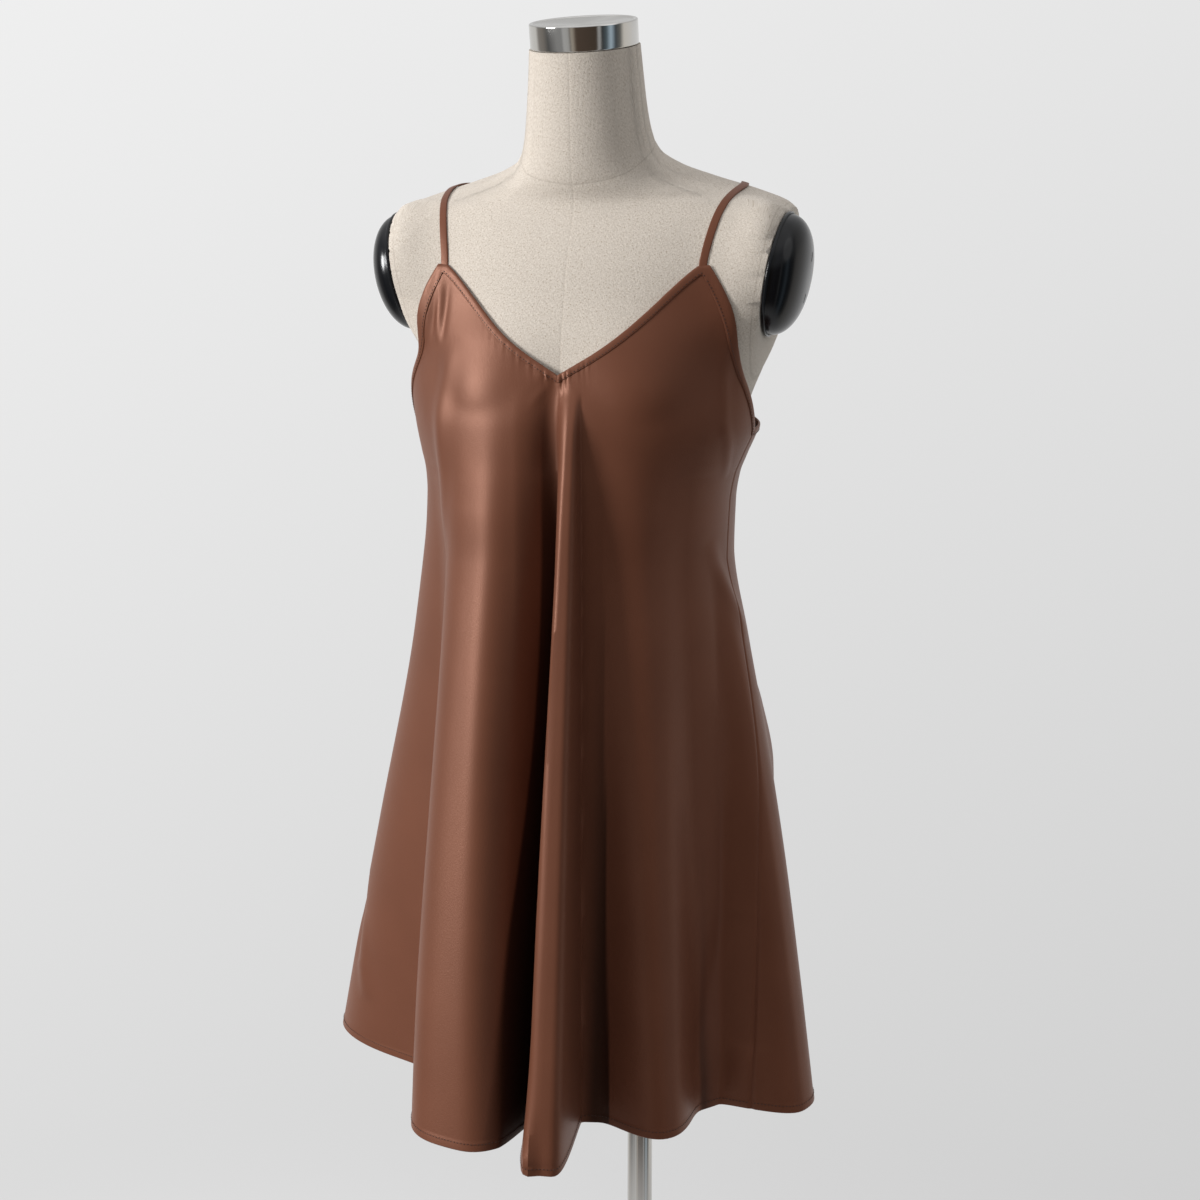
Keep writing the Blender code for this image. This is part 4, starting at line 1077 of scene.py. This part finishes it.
def edge_frame(panel, first, last):
    """The top and lower edge of the binding along a panel's columns, and the panel's normals."""
    theta, grid, normal = (part[:, first:last + 1] for part in panel[:3])
    low = grid[np.searchsorted(LEVELS, 1.0)]
    top_theta = theta[-1]
    top = dress_point(top_theta, top_edge(top_theta))
    return top, low, unit(normal[-3])


def folded_strip(name, top, low, normal):
    """The fold's profile carried along the edge: top + down (low - top) + out normal."""
    down, out = BINDING_FOLD["down"], BINDING_FOLD["out"] * 0.001
    points = (top[:, None] + down[:, None] * (low - top)[:, None]
              + out[:, None] * normal[:, None])
    uv = np.stack(np.broadcast_arrays(run_length(top)[:, None], down * BINDING_WIDTH), -1)
    faces = grid_quads(*points.shape[:2], close_columns=True)
    return add_piece(name, points, faces, satin, uv)


def column_at(panel, angle):
    """The panel's column whose direction at the top edge is nearest to an angle."""
    return int(np.argmin(np.abs(panel[0][-1] - angle)))


right_point, v_tip, left_point = (column_at(front, angle)
                                  for angle in (-STRAP_POINT_ANGLE, 0.0, STRAP_POINT_ANGLE))
last_column = front[0].shape[1] - 1
BINDINGS = (
    ("armhole_binding_right", front, 0, right_point),
    ("neck_binding_right", front, right_point, v_tip),
    ("neck_binding_left", front, v_tip, left_point),
    ("armhole_binding_left", front, left_point, last_column),
    ("back_binding", back, 0, back[0].shape[1] - 1),
)
for name, panel, start, stop in BINDINGS:
    strip = folded_strip("folded_" + name, *edge_frame(panel, start, stop))
    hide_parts(name)

# ----------------------------------------------------------------------------------- straps
# Narrow straps of the same satin, folded into a flat tube, from behind each strap point over the
# shoulder to the back edge.
STRAP_WIDTH, STRAP_THICK, STRAP_WALL, STRAP_LIFT = 0.0070, 0.0018, 0.0004, 0.0014
STRAP_SHOULDER_X, STRAP_FADE, STRAP_ROWS = 0.135, 0.10, 130
RIDGE_HEIGHTS = (1.36, 1.42)           # the shoulder's ridge lies between these
BEHIND = 0.0016                        # the strap's middle lies this far inside the panel
TAIL, TAIL_ROWS = 0.008, 5             # its sewn-in end, below the panel's edge
# Each end: the form's middle line there, then the direction, height and half width in degrees.
STRAP_ENDS = ((0.0, STRAP_POINT_ANGLE, STRAP_POINT_HEIGHT, STRAP_POINT_HALF),
              (180.0, BACK_STRAP_ANGLE, BACK_STRAP_HEIGHT, -STRAP_POINT_HALF))


def read_at(at, travelled, points):
    """The points at other distances along their line, on straight lines between them."""
    return np.stack([np.interp(at, travelled, column) for column in points.T], -1)


def eased(line, passes):
    """The line with its inner points averaged with their neighbours, by weights 1, 2 and 1."""
    line = line.copy()
    for _ in range(passes):
        line[1:-1] = (line[:-2] + 2 * line[1:-1] + line[2:]) / 4
    return line


def strap_line(shift, count, steps=400, passes=40):
    """A line over the left shoulder on the form, shift half widths from the strap's middle. Each
    half climbs from its end to the ridge, where the form is just as wide as the strap's x."""
    shoulder_x = STRAP_SHOULDER_X + shift * STRAP_WIDTH / 2
    fine = np.linspace(*RIDGE_HEIGHTS, 600)
    ridge = fine[np.argmin(np.abs(form_point(90.0, fine)[:, 0] - BODY_AXIS[0] - shoulder_x))]
    t = np.linspace(0, 1, 200)
    halves = []
    for middle, angle, end_height, half_angle in STRAP_ENDS:
        end = dress_point(np.array(angle + shift * half_angle), np.array(end_height))
        end_x = (end - BODY_AXIS)[0]
        height = ridge - (ridge - end_height) * (1 - t) ** 2
        x = shoulder_x + (end_x - shoulder_x) * (1 - t)
        theta = np.linspace(middle, 90.0, steps)
        body = form_point(theta, height[:, None]) - BODY_AXIS
        reach = np.maximum.accumulate(body[..., 0], axis=1)
        halves.append(np.array([read_at(*row) for row in zip(x, reach, body)]))
    line = np.concatenate([halves[0], halves[1][::-1][1:]])
    travelled = run_length(line)
    line = eased(read_at(np.linspace(0, travelled[-1], steps), travelled, line), passes)
    return read_at(np.linspace(0, steps - 1, count), np.arange(steps), line)


def behind_panel(theta, height):
    """A point on the inside of a dress panel, measured from the body axis."""
    seat = dress_point(theta, height) - BODY_AXIS
    seat[..., :2] *= 1 - BEHIND / np.linalg.norm(seat[..., :2], axis=-1, keepdims=True)
    return seat


strip = np.stack([strap_line(shift, STRAP_ROWS) for shift in (-1, 0, 1)], axis=1)
strip += outward(strip) * STRAP_LIFT
along = np.linspace(0, 1, STRAP_ROWS)[:, None, None]
tails = []
for (_, angle, end_height, half_angle), row, away in zip(STRAP_ENDS, (0, -1), (along, 1 - along)):
    tips = angle + np.array([-1, 0, 1]) * half_angle
    seat = behind_panel(tips, np.full(3, end_height))
    strip = strip + np.exp(-(away / STRAP_FADE) ** 2) * (seat - strip[row])
    lower = np.linspace(TAIL, TAIL / TAIL_ROWS, TAIL_ROWS)[:, None]
    tails.append(behind_panel(tips + 0 * lower, end_height - lower))
strip = eased(np.concatenate([tails[0], strip, tails[1][::-1]]), passes=6)
strap_normal = outward(strip)[:, 1]
strap_across = unit(strip[:, 2] - strip[:, 0])
# The section is a rounded box: each direction's cosine and sine raised to a power below 1.
BOX_ACROSS, BOX_OUT = 0.35, 0.6
bend = np.linspace(0, 2 * np.pi, 28, endpoint=False)
box_across = np.sign(np.cos(bend)) * np.abs(np.cos(bend)) ** BOX_ACROSS
box_out = np.sign(np.sin(bend)) * np.abs(np.sin(bend)) ** BOX_OUT


def strap_tube(name, side):
    """A flat tube with a wall: the section, outer and inner, carried along the strap's line."""
    mirror = np.array([side, 1, 1])
    rings = []
    for inside in (0.0, STRAP_WALL):
        ring = ((STRAP_WIDTH / 2 - inside) * box_across[:, None] * strap_across[:, None]
                + (STRAP_THICK / 2 - inside) * box_out[:, None] * strap_normal[:, None])
        rings.append(BODY_AXIS + (strip[:, 1][:, None] + ring) * mirror)
    rows, size = rings[0].shape[:2]
    loops = np.concatenate([rings[0], rings[1][::-1]])
    along_strap = run_length(strip[:, 1])
    travelled = np.concatenate([along_strap, along_strap[::-1]])[:, None]
    around = np.linspace(0, 2 * STRAP_WIDTH, size)
    uv = np.stack(np.broadcast_arrays(around, travelled), -1)
    faces = grid_quads(2 * rows, size, close_rows=True, close_columns=True)
    return add_piece(name, loops, faces, satin, uv)


for side, name in ((1, "left"), (-1, "right")):
    strap = strap_tube(f"folded_strap_{name}", side)
    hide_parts(f"strap_{name}")
    float(run_length(strip[:, 1])[-1])

# ---------------------------------------------------------------------------------- stitching
# Lockstitch in a darker brown thread: along each binding near its lower edge, and round the hem
# through its turned-up allowance. Each stitch is a short thread that dips at both ends. The
# thread's dark colour is partly painted shade, the shade in the needle holes it sinks into.
STITCH_PITCH, STITCH_LONG, STITCH_RADIUS = 0.0032, 0.0022, 0.00034
STITCH_RINGS, STITCH_SIDES = 5, 6
STITCH_LINE = 0.80                     # how far down the binding's width the stitches run
BINDING_FACE = 0.00118                 # the binding's outer face, out from the panel's middle
HEM_STITCH = 0.0058                    # how far up from the hem its stitches run
PLY_SCALE, PLY_RELIEF = 3000.0, 0.00005
# The thread's colour is partly its own and partly painted shade of its sunk needle holes.
thread, tree, shader = new_finish("brown_thread_with_painted_shade", (0.036, 0.013, 0.008), 0.6)
plies = noise(tree, add_node(tree, "TexCoord").outputs["Object"], PLY_SCALE)
tree.links.new(bump(tree, plies, PLY_RELIEF), shader.inputs["Normal"])


def stitch_row(name, line, normal):
    """Stitches along a line that lies on the cloth. Each is a spindle of a few rings, with its
    ends bent down into the cloth. Its radius is sqrt(1 - x^4) times the thread's, and it rises
    by 0.5 - 1.3 x^4 of that, for x from -1 to 1 along it."""
    travelled = run_length(line)
    centres = np.arange(STITCH_PITCH, travelled[-1] - STITCH_PITCH / 2, STITCH_PITCH)
    share = np.linspace(-0.5, 0.5, STITCH_RINGS)
    at = centres[:, None] + share * STITCH_LONG
    points = read_at(at, travelled, line)
    out = unit(read_at(at, travelled, normal))
    forward = unit(points[:, -1:] - points[:, :1])
    beside = np.cross(forward, out)
    radius = STITCH_RADIUS * np.sqrt(np.clip(1 - (2 * share) ** 4, 0, 1))
    rise = STITCH_RADIUS * (0.5 - 1.3 * (2 * share) ** 4)
    turn = np.linspace(0, 2 * np.pi, STITCH_SIDES, endpoint=False)
    rings = ((points + out * rise[:, None])[:, :, None]
             + radius[:, None, None] * (np.cos(turn)[:, None] * beside[:, :, None]
                                        + np.sin(turn)[:, None] * out[:, :, None]))
    one = grid_quads(STITCH_RINGS, STITCH_SIDES, close_columns=True)
    first = STITCH_RINGS * STITCH_SIDES * np.arange(len(centres))
    faces = (one + first[:, None, None]).reshape(-1, 4)
    return add_piece(name, rings, faces, thread)


for name, panel, start, stop in BINDINGS:
    top, low, normal = edge_frame(panel, start, stop)
    middle = top + STITCH_LINE * (low - top) + BINDING_FACE * normal
    row = stitch_row("stitches_" + name, middle, normal)
    length = run_length(top)[-1]


def hem_stitches(name, panel):
    """The stitches through the turned-up hem, at the same distance up every column."""
    _, grid, normal, _ = panel
    up = run_length(grid, 0)
    row = np.array([read_at(HEM_STITCH, up[:, i], grid[:, i]) for i in range(grid.shape[1])])
    out = normal[np.searchsorted(LEVELS, HEM_STITCH / BODY_LENGTH)]
    return stitch_row(name, row + out * HEM_HALF, out)


def declare_panel(panel, hem_row):
    """Measures the panel's cut: as wide as its hem and as long as its longest column."""
    _, grid, _, piece = panel
    width, length = run_length(grid, 1)[:, -1].max(), run_length(grid, 0)[-1].max()


declare_panel(front, hem_stitches("stitches_front_hem", front))
declare_panel(back, hem_stitches("stitches_back_hem", back))

# ------------------------------------------------------------------------- floor and backdrop
# What stands round the dress: a dim room in front with a window and narrow lamps, and pale
# walls behind. Directions are degrees round from the front, towards the form's left.
ROOM = table("azimuth red green blue", [
    (-180, 0.80, 0.80, 0.80), (-105, 0.76, 0.75, 0.73), (-95, 0.30, 0.28, 0.26),
    (-80, 0.24, 0.22, 0.20), (-66, 0.10, 0.10, 0.10), (-44, 0.30, 0.30, 0.30),
    (-31, 0.30, 0.30, 0.30), (-28, 0.50, 0.50, 0.50), (-16, 0.46, 0.46, 0.45),
    (-13, 0.16, 0.14, 0.13), (-10, 0.46, 0.42, 0.36), (-5, 0.34, 0.29, 0.24),
    (-1, 0.095, 0.068, 0.052), (44, 0.070, 0.052, 0.040), (48, 0.42, 0.42, 0.42),
    (52, 0.36, 0.36, 0.36), (55, 0.04, 0.04, 0.04), (66, 0.10, 0.13, 0.15),
    (76, 0.46, 0.58, 0.68), (87, 0.06, 0.07, 0.08), (100, 0.16, 0.16, 0.15),
    (110, 0.74, 0.71, 0.66), (150, 0.78, 0.78, 0.78), (180, 0.80, 0.80, 0.80),
])
# The upper room and the ceiling, each with the rise where it starts and where it is full, and
# the share of them behind the dress, which grows to 1 in front of it.
UPPER_ROOM, CEILING = (0.06, 0.30, (0.42, 0.42, 0.425)), (0.45, 0.80, (1.00, 1.00, 1.01))
BACK_SHARE, BACK_END, FRONT_START = 0.45, -0.35, 0.05
WALL_TONE, WALL_RISE, WALL_ACROSS = 0.795, 0.288, -0.142
VIEW_TURN = np.radians(17.0)
VIEW_RIGHT = (np.cos(VIEW_TURN), np.sin(VIEW_TURN), 0.0)


def build_studio():
    """Light from a direction. Room is what lights and mirrors in the pieces: the ROOM colours
    by azimuth, an even upper room above them and a ceiling. Wall is the pale wall behind:
    tone + rise * height + across * (direction along the wall)."""
    tree, given, result = new_effect("studio_round_about", [("Vector", "Vector")],
                                     [("Room", "Color"), ("Wall", "Color")])
    split = add_node(tree, "SeparateXYZ", {"Vector": given.outputs["Vector"]})
    ahead = math_of(tree, "MULTIPLY", split.outputs["Y"], -1.0)
    azimuth = math_of(tree, "ARCTAN2", split.outputs["X"], ahead)
    ramp = add_node(tree, "ValToRGB", {"Fac": ranged(tree, azimuth, -np.pi, np.pi)})
    stops = ramp.color_ramp.elements
    stops.remove(stops[-1])
    for i, (degrees, red, green, blue) in enumerate(zip(*ROOM.values())):
        at = (degrees + 180) / 360
        stop = stops[0] if i == 0 else stops.new(at)
        stop.position = at
        stop.color = (red, green, blue, 1)
    mixed = ramp.outputs["Color"]
    front = ranged(tree, ahead, BACK_END, FRONT_START, BACK_SHARE, 1.0, smooth=True)
    for low, high, color in (UPPER_ROOM, CEILING):
        risen = ranged(tree, split.outputs["Z"], low, high, smooth=True)
        share = math_of(tree, "MULTIPLY", risen, front)
        mixed = mixed_color(tree, share, mixed, (*color, 1))
    across = add_node(tree, "VectorMath", {0: given.outputs["Vector"], 1: VIEW_RIGHT},
                      operation="DOT_PRODUCT")
    rise = math_of(tree, "MULTIPLY_ADD", split.outputs["Z"], WALL_RISE, WALL_TONE)
    tone = math_of(tree, "MULTIPLY_ADD", across.outputs["Value"], WALL_ACROSS, rise)
    wall = add_node(tree, "CombineXYZ", {axis: tone for axis in "XYZ"})
    tree.links.new(mixed, result.inputs["Room"])
    tree.links.new(wall.outputs[0], result.inputs["Wall"])
    return tree


studio = build_studio()

# A flat floor of matt paint, which turns into the wall's own light between these distances.
FLOOR_HALF = 60.0
NEAR_FLOOR, FAR_FLOOR = 0.45, 1.30
LENS_BACK, LENS_ASIDE, LENS_HEIGHT = 1.855, 0.005, 1.364
LENS_PLACE = BODY_AXIS + LENS_ASIDE * np.array(VIEW_RIGHT) + np.array([
    LENS_BACK * np.sin(VIEW_TURN), -LENS_BACK * np.cos(VIEW_TURN), LENS_HEIGHT])
floor_mesh = bpy.data.meshes.new("floor")
floor_mesh.from_pydata([(x * FLOOR_HALF, y * FLOOR_HALF, 0)
                        for x, y in ((-1, -1), (1, -1), (1, 1), (-1, 1))], [], [(0, 1, 2, 3)])
floor = new_object("floor", floor_mesh)
paint, tree, shader = new_finish("floor_paint", (0.62, 0.62, 0.62), 0.9)
place = add_node(tree, "TexCoord")
far = add_node(tree, "VectorMath", {0: place.outputs["Object"]}, operation="LENGTH")
fade = ranged(tree, far.outputs["Value"], NEAR_FLOOR, FAR_FLOOR, smooth=True)
from_lens = add_node(tree, "VectorMath", {0: place.outputs["Object"], 1: tuple(LENS_PLACE)},
                     operation="SUBTRACT")
sight = add_node(tree, "VectorMath", {0: from_lens.outputs[0]}, operation="NORMALIZE")
around = use_effect(tree, studio, {"Vector": place.outputs["Object"]})
behind = use_effect(tree, studio, {"Vector": sight.outputs[0]})
path = add_node(tree, "LightPath")
color = mixed_color(tree, path.outputs["Is Camera Ray"], around.outputs["Room"],
                    behind.outputs["Wall"])
glow = add_node(tree, "Emission", {"Color": color, "Strength": 1.0})
mixed = add_node(tree, "MixShader", {"Fac": fade, 1: shader.outputs[0], 2: glow.outputs[0]})
tree.links.new(mixed.outputs[0], tree.nodes["Material Output"].inputs["Surface"])
floor_mesh.materials.append(paint)

# ------------------------------------------------------------------------------------ light
# Soft studio light: the room and the wall from all round, a strong round lamp in front at the
# form's right, and a weak, wider one at its left that opens the shadows.
world = bpy.data.worlds.new("studio")
bpy.context.scene.world = world
world.use_nodes = True
tree = world.node_tree
tree.nodes.clear()
place = add_node(tree, "TexCoord")
around = use_effect(tree, studio, {"Vector": place.outputs["Generated"]})
path = add_node(tree, "LightPath")
color = mixed_color(tree, path.outputs["Is Camera Ray"], around.outputs["Room"],
                    around.outputs["Wall"])
backdrop = add_node(tree, "Background", {"Color": color, "Strength": 1.0})
add_node(tree, "OutputWorld", {"Surface": backdrop.outputs[0]})


def facing(right, above, back, place):
    """The matrix of a lamp or a lens: the directions to its right, above and behind, and its
    place."""
    return Matrix([*np.stack([right, above, back, place], -1), (0, 0, 0, 1)])


def softbox(name, azimuth, elevation, distance, size, power, aim_height):
    """A round soft light that faces the dress from a direction round it, in degrees, metres and
    watts."""
    light = bpy.data.lights.new(name, "AREA")
    light.shape = "DISK"
    light.size = size
    light.energy = power
    turn, rise = np.radians(azimuth), np.radians(elevation)
    toward = np.array([np.sin(turn) * np.cos(rise), -np.cos(turn) * np.cos(rise), np.sin(rise)])
    side = unit(np.cross([0, 0, 1], toward))
    place = BODY_AXIS + np.array([0, 0, aim_height]) + toward * distance
    new_object(name, light).matrix_world = facing(side, np.cross(toward, side), toward, place)


softbox("key_light", azimuth=-55.0, elevation=16.0, distance=3.6, size=1.2, power=150.0,
        aim_height=1.0)
softbox("fill_light", azimuth=72.0, elevation=30.0, distance=3.6, size=2.4, power=9.0,
        aim_height=1.2)

# ----------------------------------------------------------------------------------- camera
# A lens in front of the dress, a little round towards the form's left and looking slightly
# down. Its focal length is 2046 pixels of a frame that is 1200 pixels wide.
VIEW_DOWN = np.radians(10.4)
SENSOR_WIDTH, FOCAL_PIXELS, FRAME_PIXELS = 36, 2046, 1200
right = np.array(VIEW_RIGHT)
level = np.cross([0, 0, 1], right)
toward = level * np.cos(VIEW_DOWN) - np.array([0, 0, np.sin(VIEW_DOWN)])
lens = bpy.data.cameras.new("camera")
lens.sensor_width = SENSOR_WIDTH
lens.lens = SENSOR_WIDTH * FOCAL_PIXELS / FRAME_PIXELS
camera = new_object("camera", lens)
camera.matrix_world = facing(right, np.cross(right, toward), -toward, LENS_PLACE)
bpy.context.scene.camera = camera
bpy.context.scene.view_settings.view_transform = "Standard"
